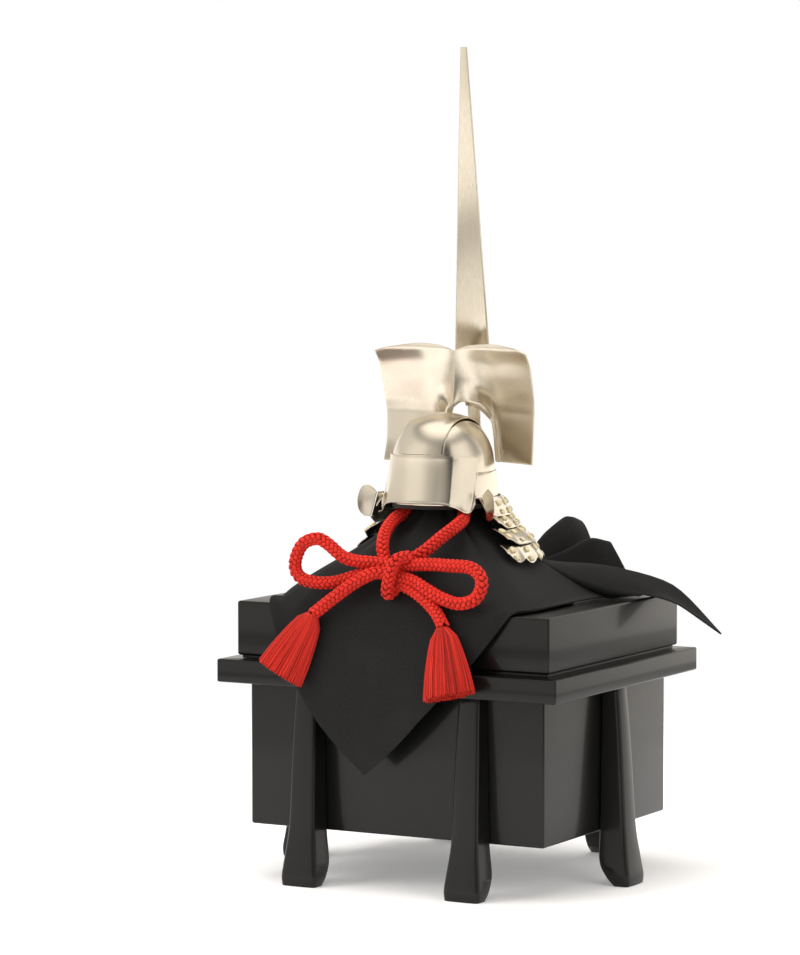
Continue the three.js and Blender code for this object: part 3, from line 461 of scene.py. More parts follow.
def braid_tree():
    """Stitches laid in slanting rows round a core that follows the given line."""
    t = Tree("braided cord", [
        ("Radius", "Float", 5 * MM), ("Pitch", "Float", 2.7 * MM), ("Rows", "Int", 8),
        ("Slant", "Float", 0.6), ("Stitch", "Vector", (1, 1, 1)), ("Material", "Material", None)])
    size = t.inputs
    line = t.node("GeometryNodeMeshToCurve", Mesh=size["Geometry"])
    even = t.node("GeometryNodeResampleCurve", {"mode": "LENGTH"}, Curve=line, Length=size["Pitch"])
    dots = t.node("GeometryNodeCurveToPoints", {"mode": "EVALUATED"}, out=None, Curve=even)
    ahead, side = dots.outputs["Tangent"], dots.outputs["Normal"]
    many = t.node("GeometryNodeDuplicateElements", {"domain": "POINT"}, out=None,
                  Geometry=dots.outputs[0], Amount=size["Rows"])
    row = many.outputs["Duplicate Index"]
    turn = t.maths("MULTIPLY", t.maths("DIVIDE", row, size["Rows"]), TURN)
    across = t.maths("CROSS_PRODUCT", ahead, side, vector=True)
    radial = t.maths("ADD", t.scaled(side, t.maths("COSINE", turn)),
                     t.scaled(across, t.maths("SINE", turn)), vector=True)
    odd = t.maths("MODULO", row, 2.0)
    out = t.scaled(radial, t.maths("MULTIPLY", size["Radius"], STITCH_AT))
    shift = t.scaled(ahead, t.maths("MULTIPLY", t.maths("MULTIPLY", odd, size["Pitch"]), 0.5))
    placed = t.node("GeometryNodeSetPosition", Geometry=many.outputs[0],
                    Offset=t.maths("ADD", out, shift, vector=True))
    facing = t.node("FunctionNodeAxesToRotation", {"primary_axis": "Z", "secondary_axis": "X"},
                    Primary_Axis=radial, Secondary_Axis=ahead)
    lean = t.maths("MULTIPLY", t.maths("SUBTRACT", t.maths("MULTIPLY", odd, 2.0), 1.0), size["Slant"])
    tilt = t.node("FunctionNodeAxisAngleToRotation", Axis=(0, 0, 1), Angle=lean)
    rotation = t.node("FunctionNodeRotateRotation", {"rotation_space": "LOCAL"},
                      Rotation=facing, Rotate_By=tilt)
    bead = t.node("GeometryNodeMeshUVSphere", Segments=10, Rings=6, Radius=0.5)
    along = t.node("ShaderNodeSeparateXYZ", Vector=t.node("GeometryNodeInputPosition"))
    # Painted shade: each stitch is marked darker toward its ends, where it dips into the braid's shaded gaps
    hidden = t.maths("MULTIPLY", t.maths("ABSOLUTE", along), 2.0)
    marked = t.node("GeometryNodeStoreNamedAttribute", Geometry=bead, Name="hidden", Value=hidden)
    stitch = t.node("GeometryNodeTransform", Geometry=marked, Scale=size["Stitch"])
    stitches = t.node("GeometryNodeInstanceOnPoints", Points=placed, Instance=stitch, Rotation=rotation)
    ring = t.node("GeometryNodeCurvePrimitiveCircle", Resolution=10,
                  Radius=t.maths("MULTIPLY", size["Radius"], CORE))
    tube = t.node("GeometryNodeCurveToMesh", Curve=even, Profile_Curve=ring, Fill_Caps=True)
    # Painted shade: the whole core is marked dark, as it lies only in the shade between the stitches
    core = t.node("GeometryNodeStoreNamedAttribute", Geometry=tube, Name="hidden", Value=1.0)
    return t.finish(t.join(core, stitches), size["Material"])


def strand_tree():
    """A thin thread along each line."""
    t = Tree("threads", [
        ("Radius", "Float", 0.3 * MM), ("Sides", "Int", 4), ("Material", "Material", None)])
    line = t.node("GeometryNodeMeshToCurve", Mesh=t.inputs["Geometry"])
    ring = t.node("GeometryNodeCurvePrimitiveCircle", Resolution=t.inputs["Sides"],
                  Radius=t.inputs["Radius"])
    thread = t.node("GeometryNodeCurveToMesh", Curve=line, Profile_Curve=ring, Fill_Caps=True)
    return t.finish(thread, t.inputs["Material"])


def knot_tree():
    """A knot of two crossing strands at each point, facing along its "facing" attribute."""
    t = Tree("lacing knots", [
        ("Strand", "Vector", (1, 1, 1)), ("Cross", "Float", 0.7), ("Spread", "Float", 1 * MM),
        ("Seed", "Int", 4), ("Material", "Material", None)])
    facing = t.node("GeometryNodeInputNamedAttribute", {"data_type": "FLOAT_VECTOR"}, Name="facing")
    down = t.node("GeometryNodeInputNamedAttribute", {"data_type": "FLOAT_VECTOR"}, Name="down")
    frame_of = t.node("FunctionNodeAxesToRotation", {"primary_axis": "Z", "secondary_axis": "X"},
                      Primary_Axis=facing, Secondary_Axis=down)
    wobble = t.node("FunctionNodeRandomValue", {"data_type": "FLOAT"}, out=1,
                    Min=-0.22, Max=0.22, Seed=t.inputs["Seed"])
    nudge = t.node("FunctionNodeAxisAngleToRotation", Axis=(0, 0, 1), Angle=wobble)
    turned = t.node("FunctionNodeRotateRotation", {"rotation_space": "LOCAL"},
                    Rotation=frame_of, Rotate_By=nudge)
    grow = t.node("FunctionNodeRandomValue", {"data_type": "FLOAT"}, out=1,
                  Min=0.88, Max=1.1, Seed=t.maths("ADD", t.inputs["Seed"], 7.0))
    bead = t.node("GeometryNodeMeshUVSphere", Segments=8, Rings=6, Radius=0.5)
    long = t.node("GeometryNodeTransform", Geometry=bead, Scale=t.inputs["Strand"])
    halves = []
    for sign in (-1.0, 1.0):
        turn = t.node("ShaderNodeCombineXYZ", Z=t.maths("MULTIPLY", t.inputs["Cross"], sign))
        move = t.node("ShaderNodeCombineXYZ", Y=t.maths("MULTIPLY", t.inputs["Spread"], sign))
        halves.append(t.node("GeometryNodeTransform", Geometry=long, Rotation=turn, Translation=move))
    knots = t.node("GeometryNodeInstanceOnPoints", Points=t.inputs["Geometry"],
                   Instance=t.join(*halves), Rotation=turned, Scale=grow)
    return t.finish(knots, t.inputs["Material"])


def grown(name, source, tree, slot, **values):
    """Runs a tree on a mesh of points or lines and keeps the result as a plain mesh piece."""
    obj = linked(name, source)
    modifier = obj.modifiers.new(tree.tree.name, "NODES")
    modifier.node_group = tree.tree
    for key, value in values.items():
        modifier[tree.ids[key]] = value
    applied(obj)
    ride(obj)
    return obj


def lines_mesh(name, lines):
    """A mesh of bare lines, in metres, from lists of points in millimetres."""
    points, edges = [], []
    for line in lines:
        start = len(points)
        points += (np.asarray(line) * MM).tolist()
        edges += [(start + k, start + k + 1) for k in range(len(line) - 1)]
    mesh = bpy.data.meshes.new(name)
    mesh.from_pydata(points, edges, [])
    return mesh


def points_mesh(name, points, **vectors):
    """A mesh of bare points, in metres, from millimetres, each with the named vectors."""
    mesh = bpy.data.meshes.new(name)
    mesh.from_pydata((np.asarray(points) * MM).tolist(), [], [])
    for key, rows in vectors.items():
        layer = mesh.attributes.new(key, "FLOAT_VECTOR", "POINT")
        layer.data.foreach_set("vector", np.asarray(rows, float).ravel())
    return mesh


# Materials

MIX_FACTOR, MIX_A, MIX_B, MIX_RESULT = 0, 6, 7, 2  # the Mix node's colour sockets share their names


class Value:
    """A shader socket on which Python's operators add Math nodes."""

    def __init__(self, shader, socket):
        self.shader, self.socket = shader, socket

    def maths(self, operation, *others):
        return self.shader.node("Math", {"operation": operation}, self, *others)

    def __add__(self, other):
        return self.maths("ADD", other)

    def __mul__(self, other):
        return self.maths("MULTIPLY", other)

    def __truediv__(self, other):
        return self.maths("DIVIDE", other)

    def __neg__(self):
        return self * -1.0

    __radd__, __rmul__ = __add__, __mul__

    def step(self, low, high):
        """0 under low, 1 over high, smooth between."""
        return self.shader.node(
            "MapRange", {"interpolation_type": "SMOOTHSTEP"}, self, low, high, 0.0, 1.0)


class Shader:
    """A material under construction."""

    def __init__(self, name, **constants):
        self.material = bpy.data.materials.new(name)
        self.material.use_nodes = True
        self.tree = self.material.node_tree
        self.surface = self.tree.nodes["Principled BSDF"]
        for key, value in constants.items():
            self.surface.inputs[key.replace("_", " ")].default_value = value

    def node(self, kind, settings=None, *values, out=0, **named):
        node = self.tree.nodes.new("ShaderNode" + kind)
        for key, value in (settings or {}).items():
            if key == "stops":
                ramp = node.color_ramp.elements
                while len(ramp) < len(value):
                    ramp.new(0.5)
                for stop, (place, colour) in zip(ramp, value):
                    stop.position, stop.color = place, colour
            else:
                setattr(node, key, value)
        for key, value in [*enumerate(values), *named.items()]:
            socket = node.inputs[key if isinstance(key, int) else key.replace("_", " ")]
            if isinstance(value, Value):
                self.tree.links.new(value.socket, socket)
            else:
                socket.default_value = value
        return Value(self, node.outputs[out])

    def place(self, stretch=(1, 1, 1), uv=None):
        where = self.node("UVMap", {"uv_map": uv}) if uv else self.node("TexCoord", out="Object")
        return self.node("Mapping", None, where, (0, 0, 0), (0, 0, 0), stretch)

    def noise(self, scale, detail=3.0, rough=0.5, **where):
        return self.node("TexNoise", None, Vector=self.place(**where), Scale=scale,
                         Detail=detail, Roughness=rough)

    def mix(self, factor, a, b):
        node = self.tree.nodes.new("ShaderNodeMix")
        node.data_type = "RGBA"
        for index, value in ((MIX_FACTOR, factor), (MIX_A, a), (MIX_B, b)):
            if isinstance(value, Value):
                self.tree.links.new(value.socket, node.inputs[index])
            else:
                node.inputs[index].default_value = value
        return Value(self, node.outputs[MIX_RESULT])

    def feed(self, **links):
        for key, value in links.items():
            self.tree.links.new(value.socket, self.surface.inputs[key.replace("_", " ")])
        return self

    def bump(self, height, strength, depth):
        """Bumps as deep as the given millimetres."""
        return self.feed(Normal=self.node("Bump", None, Strength=strength, Distance=depth * MM,
                                          Height=height))


class Room(Shader):
    """A world's shader under construction."""

    def __init__(self, tree):
        self.tree, self.surface = tree, tree.nodes["Background"]


def rgba(colour, factor=1.0):
    """An opaque colour times a factor, at most 1."""
    return (*(min(1.0, c * factor) for c in colour[:3]), 1.0)


FINISHES = {}


def finish(name):
    if name not in FINISHES:
        FINISHES[name] = MAKERS[name](bpy.context.scene.display_helmet).material
    return FINISHES[name]


def plated(settings, rough=0.15, name="plated sheet metal"):
    """Satin plated sheet metal with faint brushing, tarnish and shallow dents."""
    s = Shader(name, Metallic=1.0)
    colour = settings.helmet.metal
    tarnish = s.noise(38.0, 4.0, 0.55).step(0.45, 0.75)
    specks = s.noise(900.0, 2.0, 0.6)
    brushed = s.noise(1500.0, 3.0, 0.6, stretch=(1, 1, 0.05))
    dents = s.noise(48.0, 1.0, 0.4)
    base = s.mix(tarnish * 0.22, rgba(colour), rgba((0.64, 0.55, 0.44)))
    s.feed(Base_Color=s.mix(specks.step(0.55, 0.8) * 0.07, base, rgba(colour, 0.72)),
           Roughness=rough + brushed * 0.10 + tarnish * 0.03 + specks * 0.02)
    return s.bump(dents * 1.0 + brushed * 0.010, 0.22, 0.9)


def satin(settings):
    """The crest's sheet, which is brushed softer."""
    return plated(settings, 0.23, "satin sheet metal")


def spike_metal(settings):
    """The same metal brushed along the blade."""
    s = Shader("brushed blade metal", Metallic=1.0)
    colour = settings.helmet.metal
    lines = s.noise(2600.0, 3.0, 0.65, stretch=(1, 1, 0.006))
    broad = s.noise(420.0, 2.0, 0.5, stretch=(1, 1, 0.012))
    cloud = s.noise(14.0, 2.0, 0.5)
    base = s.mix(lines.step(0.3, 0.75) * 0.5, rgba(colour, 1.06), rgba(colour, 0.74))
    s.feed(Base_Color=s.mix(cloud.step(0.4, 0.7) * 0.25, base, rgba((0.66, 0.58, 0.47))),
           Roughness=0.13 + lines * 0.10 + broad * 0.05)
    return s.bump(lines * 0.5 + broad * 0.4, 0.25, 0.12)


def lacquer(settings):
    """Satin black lacquer over wood, with a faint orange peel and dust in places."""
    s = Shader("black lacquer", Coat_Weight=0.25, Coat_Roughness=0.1, Specular_IOR_Level=0.18)
    peel = s.noise(260.0, 2.0, 0.5)
    dust = s.noise(3200.0, 2.0, 0.6)
    wear = s.noise(24.0, 4.0, 0.6)
    s.feed(Base_Color=s.mix(dust.step(0.64, 0.8) * 0.15, rgba(settings.box.lacquer),
                            rgba((0.03, 0.03, 0.03))),
           Roughness=0.24 + wear * 0.12 + dust * 0.04)
    return s.bump(peel * 0.8 + dust * 0.06, 0.18, 0.12)


def grained(s, grain, span, dark, light, rough, spread, strength, depth):
    """Colour, roughness and bumps that all follow one grain."""
    s.feed(Base_Color=s.mix(grain.step(*span), rgba(dark), rgba(light)), Roughness=rough + grain * spread)
    return s.bump(grain, strength, depth)


def inner_lacquer(settings):
    """The neck plates' lacquered leather backs."""
    s = Shader("lacquered back", Coat_Weight=0.3, Coat_Roughness=0.25)
    return grained(s, s.noise(900.0, 3.0, 0.6), (0.4, 0.7), (0.008, 0.008, 0.008),
                   (0.018, 0.017, 0.016), 0.42, 0.2, 0.3, 0.1)


def lining(settings):
    """Soft dark felt."""
    s = Shader("lining felt", Sheen_Weight=0.2, Sheen_Roughness=0.6)
    return grained(s, s.noise(2400.0, 3.0, 0.7), (0.35, 0.7), (0.010, 0.010, 0.011),
                   (0.030, 0.029, 0.028), 0.86, 0.1, 0.6, 0.2)


def wood(settings):
    """The post's plain wood, with an upright grain."""
    s = Shader("plain wood")
    return grained(s, s.noise(160.0, 4.0, 0.6, stretch=(1, 1, 0.06)), (0.35, 0.7), (0.20, 0.12, 0.07),
                   (0.34, 0.23, 0.14), 0.55, 0.2, 0.3, 0.2)


def crepe(settings):
    """Matt black crepe cloth with a fine crinkled weave."""
    s = Shader("black crepe cloth", Sheen_Weight=0.02, Sheen_Roughness=0.5, Specular_IOR_Level=0.25)
    colour = settings.cloth.black
    warp, weft, cloud, lint = (
        s.noise(1.0, detail, rough, stretch=(*stretch, 1), uv="flat") for detail, rough, stretch in
        ((2.0, 0.6, (2600, 700)), (2.0, 0.6, (700, 2600)), (3.0, 0.5, (22, 22)), (1.0, 0.4, (5200, 5200))))
    weave = warp * 0.5 + weft * 0.5
    base = s.mix(weave.step(0.36, 0.66), rgba(colour, 0.55), rgba(colour, 1.5))
    base = s.mix(cloud.step(0.4, 0.75) * 0.25, base, rgba(colour, 1.9))
    s.feed(Base_Color=s.mix(lint.step(0.74, 0.86) * 0.2, base, rgba((0.09, 0.09, 0.095))),
           Roughness=0.80 + weave * 0.18)
    return s.bump(weave, 0.55, 0.25)


def threads(s, colour, spread, fibre, span, share, shade):
    """The colour of threads: each one a little different, with fibres of another shade."""
    each = s.node("NewGeometry", out="Random Per Island")
    base = s.mix(each, *(rgba(colour, factor) for factor in spread))
    return s.mix(fibre.step(*span) * share, base, rgba(shade))


def silk(settings):
    """The cord's red silk, with painted shade where a stitch dips under its neighbours and on the core
    between the stitches.
    """
    s = Shader("red silk cord", Specular_IOR_Level=0.22)
    fibre = s.noise(1700.0, 3.0, 0.6)
    base = threads(s, settings.cord.red, (0.9, 1.12), fibre, (0.35, 0.75), 0.35, (0.48, 0.012, 0.008))
    hidden = s.node("Attribute", {"attribute_name": "hidden"}, out="Fac")
    # Painted shade: the stitches' ends and the core are mixed toward a dark red
    s.feed(Base_Color=s.mix(hidden.step(0.45, 1.0) * 0.9, base, rgba((0.12, 0.002, 0.002))),
           Roughness=0.55 + fibre * 0.2)
    return s.bump(fibre, 0.35, 0.15)


def fringe(settings):
    """Fine red threads of the tassels."""
    s = Shader("red silk threads", Specular_IOR_Level=0.25)
    kink = s.noise(500.0, 2.0, 0.5)
    base = threads(s, settings.cord.red, (0.42, 1.15), kink, (0.6, 0.9), 0.3, (0.30, 0.006, 0.006))
    return s.feed(Base_Color=base, Roughness=0.50 + kink * 0.2).bump(kink, 0.2, 0.1)


def lace(settings):
    """The neck plates' cream lacing."""
    s = Shader("cream lacing", Sheen_Weight=0.1, Sheen_Roughness=0.5, Subsurface_Weight=0.05)
    fibre = s.noise(2300.0, 2.0, 0.6)
    base = threads(s, settings.helmet.lace, (0.88, 1.08), fibre, (0.45, 0.75), 0.5, (0.55, 0.44, 0.26))
    return s.feed(Base_Color=base, Roughness=0.66 + fibre * 0.2).bump(fibre, 0.4, 0.15)


def floor_paint(settings):
    """White paper that fades out into the white behind it."""
    colour = settings.studio.floor
    s = Shader("studio floor", Roughness=0.75, Specular_IOR_Level=0.15,
               Emission_Color=rgba(colour), Emission_Strength=0.26)
    s.feed(Base_Color=s.mix(s.noise(3.0, 2.0, 0.5) * 0.06, rgba(colour), rgba(colour, 0.95)))
    where = s.node("TexCoord", out="Object")
    away = s.node("VectorMath", {"operation": "LENGTH"}, where, out="Value")
    paper = Value(s, s.surface.outputs[0])
    faded = s.node("MixShader", None, away.step(FLOOR_WHOLE, FLOOR_END), paper, s.node("BsdfTransparent"))
    s.tree.links.new(faded.socket, s.tree.nodes["Material Output"].inputs["Surface"])
    return s


MAKERS = {
    "plated": plated, "satin": satin, "spike": spike_metal, "lacquer": lacquer, "inner": inner_lacquer,
    "lining": lining, "crepe": crepe, "silk": silk, "fringe": fringe, "lace": lace,
    "wood": wood, "floor": floor_paint,
}


# Camera, light and floor

FLOOR_HALF = 12.0  # metres
FLOOR_WHOLE, FLOOR_END = 0.7, 1.0  # metres from the box's middle between which the floor fades out
VIEW_AZIMUTH, VIEW_PITCH, VIEW_DISTANCE = 28.76, 4.18, 3011.95
VIEW_CENTRE_Z, VIEW_SIDE = 297.35, -45.24
FOCAL_PIXELS, FRAME_HEIGHT, SENSOR = 4000.0, 955.0, 36.0

LIGHTS = [
    # name, place and size in metres, setting of the strength, colour
    ("key", (-1.6, -1.9, 1.7), (1.6, 1.6), "key", (1.0, 0.97, 0.93)),
    ("fill", (2.4, -1.2, 1.0), (1.4, 1.8), "fill", (1.0, 0.98, 0.96)),
    ("top", (-0.3, -0.1, 2.4), (1.5, 1.5), "key", (1.0, 1.0, 1.0)),
]
LIT_POINT = (0, 0, 0.28)

# The room that the metal mirrors. A direction's height is 1 straight up and 0 level.
WARM = (1.0, 0.955, 0.885)
ROOM_LIGHT = 1.6
WALLS = [
    # azimuth from the front toward +X, brightness
    (-180, 0.5), (-115, 0.75), (-70, 0.85), (-45, 1.05), (-18, 1.05), (-2, 0.70), (12, 0.54), (30, 0.40),
    (37, 0.24), (41, 0.04), (53, 0.03), (57, 1.05), (88, 1.2), (102, 1.0), (113, 0.5), (126, 0.42),
    (145, 1.4), (180, 1.5),
]
HORIZON = [
    # azimuth, brightness of the low band of the walls
    (-180, 1.3), (-70, 1.0), (-45, 1.35), (-12, 1.35), (0, 1.1), (33, 1.1), (38, 0.04), (63, 0.03),
    (69, 1.2), (110, 1.3), (140, 1.55), (180, 1.55),
]
CEILING = [
    # height, brightness
    (-1, 0.3), (0.4, 0.42), (0.66, 0.32), (0.8, 0.46), (0.88, 1.3), (0.95, 1.6), (1, 1.6),
]
HORIZON_END, CEILING_START = (0.08, 0.2), (0.6, 0.8)  # heights over which one blends into the next
UNDERSIDES = [
    # heights over which the room above ends, brightness below them
    ((-0.14, -0.134), 0.4), ((-0.27, -0.22), 1.05),
]


class HELMET_OT_stage(bpy.types.Operator):
    """Sets the camera, the lights and the floor"""
    bl_idname = "display_helmet.stage"
    bl_label = "Studio"

    def execute(self, context):
        scene = context.scene
        studio = scene.display_helmet.studio
        scene.view_settings.view_transform = "Standard"
        scene.camera = self.camera()
        for name, place, size, setting, colour in LIGHTS:
            self.light(name, place, size, getattr(studio, setting), colour)

        world = bpy.data.worlds.new("studio")
        scene.world = world
        world.use_nodes = True
        self.paint_world(world.node_tree)

        mesh = bpy.data.meshes.new("floor")
        corners = ((-1, -1), (1, -1), (1, 1), (-1, 1))
        mesh.from_pydata([(x * FLOOR_HALF, y * FLOOR_HALF, 0) for x, y in corners], [], [(0, 1, 2, 3)])
        mesh.materials.append(finish("floor"))
        linked("floor", mesh)
        return {"FINISHED"}

    def camera(self):
        azimuth, pitch = math.radians(VIEW_AZIMUTH), math.radians(VIEW_PITCH)
        right = Vector((math.cos(azimuth), math.sin(azimuth), 0))
        target = Vector((0, 0, VIEW_CENTRE_Z)) * MM + right * VIEW_SIDE * MM
        back = Vector((math.sin(azimuth) * math.cos(pitch), -math.cos(azimuth) * math.cos(pitch),
                       math.sin(pitch)))
        data = bpy.data.cameras.new("camera")
        data.sensor_width, data.sensor_fit = SENSOR, "AUTO"
        data.lens = FOCAL_PIXELS / FRAME_HEIGHT * SENSOR
        data.clip_end = 100
        camera = linked("camera", data)
        camera.location = target + back * VIEW_DISTANCE * MM
        camera.rotation_euler = (-back).to_track_quat("-Z", "Y").to_euler()
        return camera

    def light(self, name, place, size, power, colour):
        """A rectangular light that the metal doesn't mirror."""
        data = bpy.data.lights.new(name, "AREA")
        data.shape, data.size, data.size_y = "RECTANGLE", *size
        data.energy, data.color = power, colour
        light = linked(name, data)
        light.location = place
        light.rotation_euler = (Vector(LIT_POINT) - Vector(place)).to_track_quat("-Z", "Y").to_euler()
        light.visible_glossy = False

    def paint_world(self, tree):
        """White behind the object; the metal mirrors a room with a dark gap between two bright walls."""
        s = Room(tree)
        s.surface.inputs["Color"].default_value = (1, 1, 1, 1)
        where = s.node("TexCoord", out="Generated")
        flat_x, flat_y, height = (s.node("SeparateXYZ", None, where, out=axis) for axis in "XYZ")
        around = s.node("Math", {"operation": "ARCTAN2"}, flat_x, -flat_y) / TURN + 0.5

        def tones(table, low, high, along):
            stops = [((place - low) / (high - low), rgba(WARM, grey / ROOM_LIGHT)) for place, grey in table]
            return s.node("ValToRGB", {"stops": stops}, along)

        room = s.mix(height.step(*CEILING_START), tones(WALLS, -180, 180, around),
                     tones(CEILING, -1, 1, height * 0.5 + 0.5))
        room = s.mix(height.step(*HORIZON_END), tones(HORIZON, -180, 180, around), room)
        for ends, grey in UNDERSIDES:
            room = s.mix(height.step(*ends), rgba(WARM, grey / ROOM_LIGHT), room)
        mirrored = s.node("Background", None, room, ROOM_LIGHT)
        seen = s.node("LightPath", out="Is Camera Ray")
        white = Value(s, s.surface.outputs[0])
        world = s.node("MixShader", None, seen, mirrored, white)
        tree.links.new(world.socket, tree.nodes["World Output"].inputs["Surface"])


# The braided cord

CHIN_LOOP = [
    (-9, -101, 243), (-13, -97, 252.5), (-17.4, -84, 262.5), (-19.6, -66, 270.4), (-19.5, -57, 272.3),
    (-18.8, -50.5, 277), (-22, -43, 283), (-29, -28, 285), (-24, -9, 285), (0, 3, 285), (24, -9, 285),
    (29, -27, 285), (26.5, -37, 282.5), (26.3, -42.5, 275.5), (29.3, -50, 271.7), (33.5, -61, 269.9),
    (33.5, -73, 266), (30, -84, 260.5), (23, -97, 251), (13, -101, 244),
]
KNOT_WRAP = [
    (14.5, -109, 246.7), (10, -115, 245.5), (7, -119, 239.5), (5.5, -120, 232.5), (4, -120, 226),
    (2.6, -118, 221.2), (2.4, -113.8, 220),
]
BEHIND_KNOT = [(5, -109, 224), (8, -106, 231), (8, -105, 238)]
LEFT_LOOP = [
    (-12, -107, 241), (-27.5, -108, 241.7), (-39.2, -110, 244.8), (-50.3, -111, 253.1),
    (-58.8, -112, 257.2), (-70, -113, 253.8), (-76.2, -114, 243.4), (-76.6, -114, 233.2),
    (-69.6, -114, 226.8), (-55.9, -113.5, 224.9), (-42, -111, 226.5), (-27, -108, 231.4),
    (-12, -107, 234),
]
RIGHT_TAIL = [
    (2, -107.6, 231.6), (10, -109.5, 226.6), (20.5, -112.3, 223), (32.8, -116.2, 216.8),
    (43.4, -119.6, 209), (50.7, -123.4, 201),
]
RIGHT_LOOP = [
    (2, -107, 240.6), (8.6, -106, 239.8), (28.7, -108, 242), (51.1, -110, 242.1), (67.5, -112, 241.6),
    (76.7, -114, 236), (78.5, -116, 227.4), (73.6, -117.5, 219.2), (61.7, -118.5, 215.8),
    (48.9, -117.6, 218.3), (35, -115.5, 223.7), (20, -111.5, 229.7),
]
LEFT_TAIL = [
    (4, -110.4, 232.6), (-9, -113, 234.4), (-22.4, -117, 228.4), (-35.6, -121, 218.8),
    (-46.7, -122.4, 210.4), (-54, -123.4, 204.6),
]
TASSELS = [
    # side, neck, middle of the fringe's lower end, half width there, half depth there
    ("left", (-56, -124, 202.4), (-79, -134.5, 158), 20.5, 9),
    ("right", (51.8, -124.2, 198), (63.5, -136, 149.5), 22, 10),
]
TASSEL_SPREAD = Smooth([(0, 0.20), (0.07, 0.42), (0.2, 0.56), (0.42, 0.72), (0.7, 0.88), (1, 1)])
TASSEL_SEEDS = {"left": 11, "right": 23}
HEAD_DEPTH = 5.4  # half depth of a tassel's bound head
THREAD = 0.42  # radius of a tassel's thread
STITCH = (5.5 * MM, 3.3 * MM, 2.7 * MM)  # length, width and depth of a stitch
STITCH_SLANT = 0.70


class HELMET_OT_cords(bpy.types.Operator):
    """Braids the chin cord, the bow and its two tasselled ends"""
    bl_idname = "display_helmet.cords"
    bl_label = "Cord and tassels"

    def execute(self, context):
        sizes = context.scene.display_helmet.cord
        tassels = {row[0]: self.tassel(sizes, *row) for row in TASSELS}
        tree = braid_tree()
        routes = (
            ("chin_cord_braid", CHIN_LOOP, "chin_cord", None, "knot"),
            ("bow_cord_left", [*KNOT_WRAP, *BEHIND_KNOT, *LEFT_LOOP, *RIGHT_TAIL], "bow_cord",
             tassels["right"], "fitting"),
            ("bow_cord_right", [*RIGHT_LOOP, *LEFT_TAIL], "bow_cord", tassels["left"], "fitting"),
        )
        for name, points, node, tassel, end in routes:
            line = through(points, 8)
            braid = grown(
                name, lines_mesh(name, [spaced(line, 1.0)]), tree, "red_cord",
                Radius=sizes.diameter / 2, Pitch=sizes.stitch_pitch, Rows=sizes.stitch_rows,
                Slant=STITCH_SLANT, Stitch=STITCH, Material=finish("silk"))
            path = (spaced(line, 2.0) * MM).tolist()
            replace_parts(braid, node)
        return {"FINISHED"}

    def tassel(self, sizes, side, neck, end, half_width, half_depth):
        """A bound head and a skirt of threads that spreads to the given width."""
        neck, end = np.array(neck, float), np.array(end, float)
        axis = end - neck
        wide = np.cross(axis, (0, -1, 0))
        wide /= np.linalg.norm(wide)
        deep = np.cross(wide, axis)
        deep /= np.linalg.norm(deep)
        rng = np.random.default_rng(TASSEL_SEEDS[side])
        lines = []
        for _ in range(sizes.fringe_strands):
            a = rng.uniform(0, TURN)
            r = math.sqrt(rng.uniform(0.12, 1.0)) * 0.97
            reach = rng.uniform(0.955, 1.0)
            sway = rng.uniform(-0.09, 0.09)
            t = np.linspace(0, 1, 8) * reach
            s = TASSEL_SPREAD(t)
            depth = np.maximum(half_depth * s, HEAD_DEPTH * (1 - 2 * t))
            angle = a + sway * t
            lines.append(neck + np.outer(t, axis) + np.outer(np.cos(angle) * r * half_width * s, wide)
                         + (np.sin(angle) * r * depth)[:, None] * deep)
        name = f"tassel_{side}_threads"
        skirt = grown(name, lines_mesh(name, lines), strand_tree(), "red_cord",
                      Radius=THREAD * MM, Sides=4, Material=finish("fringe"))
        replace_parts(skirt, f"tassel_{side}")
        return skirt


# The lacquered box


LID_WALL = 8.0
FOOT_IN, FOOT_BOTTOM = 2.5, LID_BOTTOM - 0.4  # the foot that carries the lid, back under its edge
BOARD = 7.0
LIP_TOP, LIP_IN = 186.0, 1.8  # the body's lip that stands up inside the lid


def rectangle(x, y, z, r, corner=6):
    """A ring round a board, with corners of radius r."""
    ring = []
    for sx, sy, start in ((1, 1, 0), (-1, 1, 90), (-1, -1, 180), (1, -1, 270)):
        for a in np.radians(np.linspace(start, start + 90, corner)):
            ring.append((sx * (x - r) + r * math.cos(a), sy * (y - r) + r * math.sin(a), z))
    return ring


def rolled(x, y, low, high, r, steps=5):
    """Rings of a board whose upper and lower edges are rounded, from the bottom up."""
    rings = []
    for a in np.radians(np.linspace(0, 90, steps)):
        inset = r * (1 - math.sin(a))
        rings.append(rectangle(x - inset, y - inset, low + r * (1 - math.cos(a)), r))
    for a in np.radians(np.linspace(0, 90, steps)):
        inset = r * (1 - math.cos(a))
        rings.append(rectangle(x - inset, y - inset, high - r * (1 - math.sin(a)), r))
    return rings


LEG_SECTIONS = [
    # z, half width, inner face out from the body's, outer face out from the body's
    (0, 14.3, 13.4, 25.2), (7, 14.8, 7, 25.6), (18, 13.8, 1.2, 24), (39, 11.4, 0.3, 21.2),
    (62, 10.6, 0.3, 19.6), (92, 10.1, 0.3, 17.9), (122, 9.3, 0.3, 15.8), (147, 8.5, 0.3, 13.6),
]
LEG_ROUND, LEG_BULGE = 3.4, 0.5  # rounding of its corners, rise of its outer face in the middle


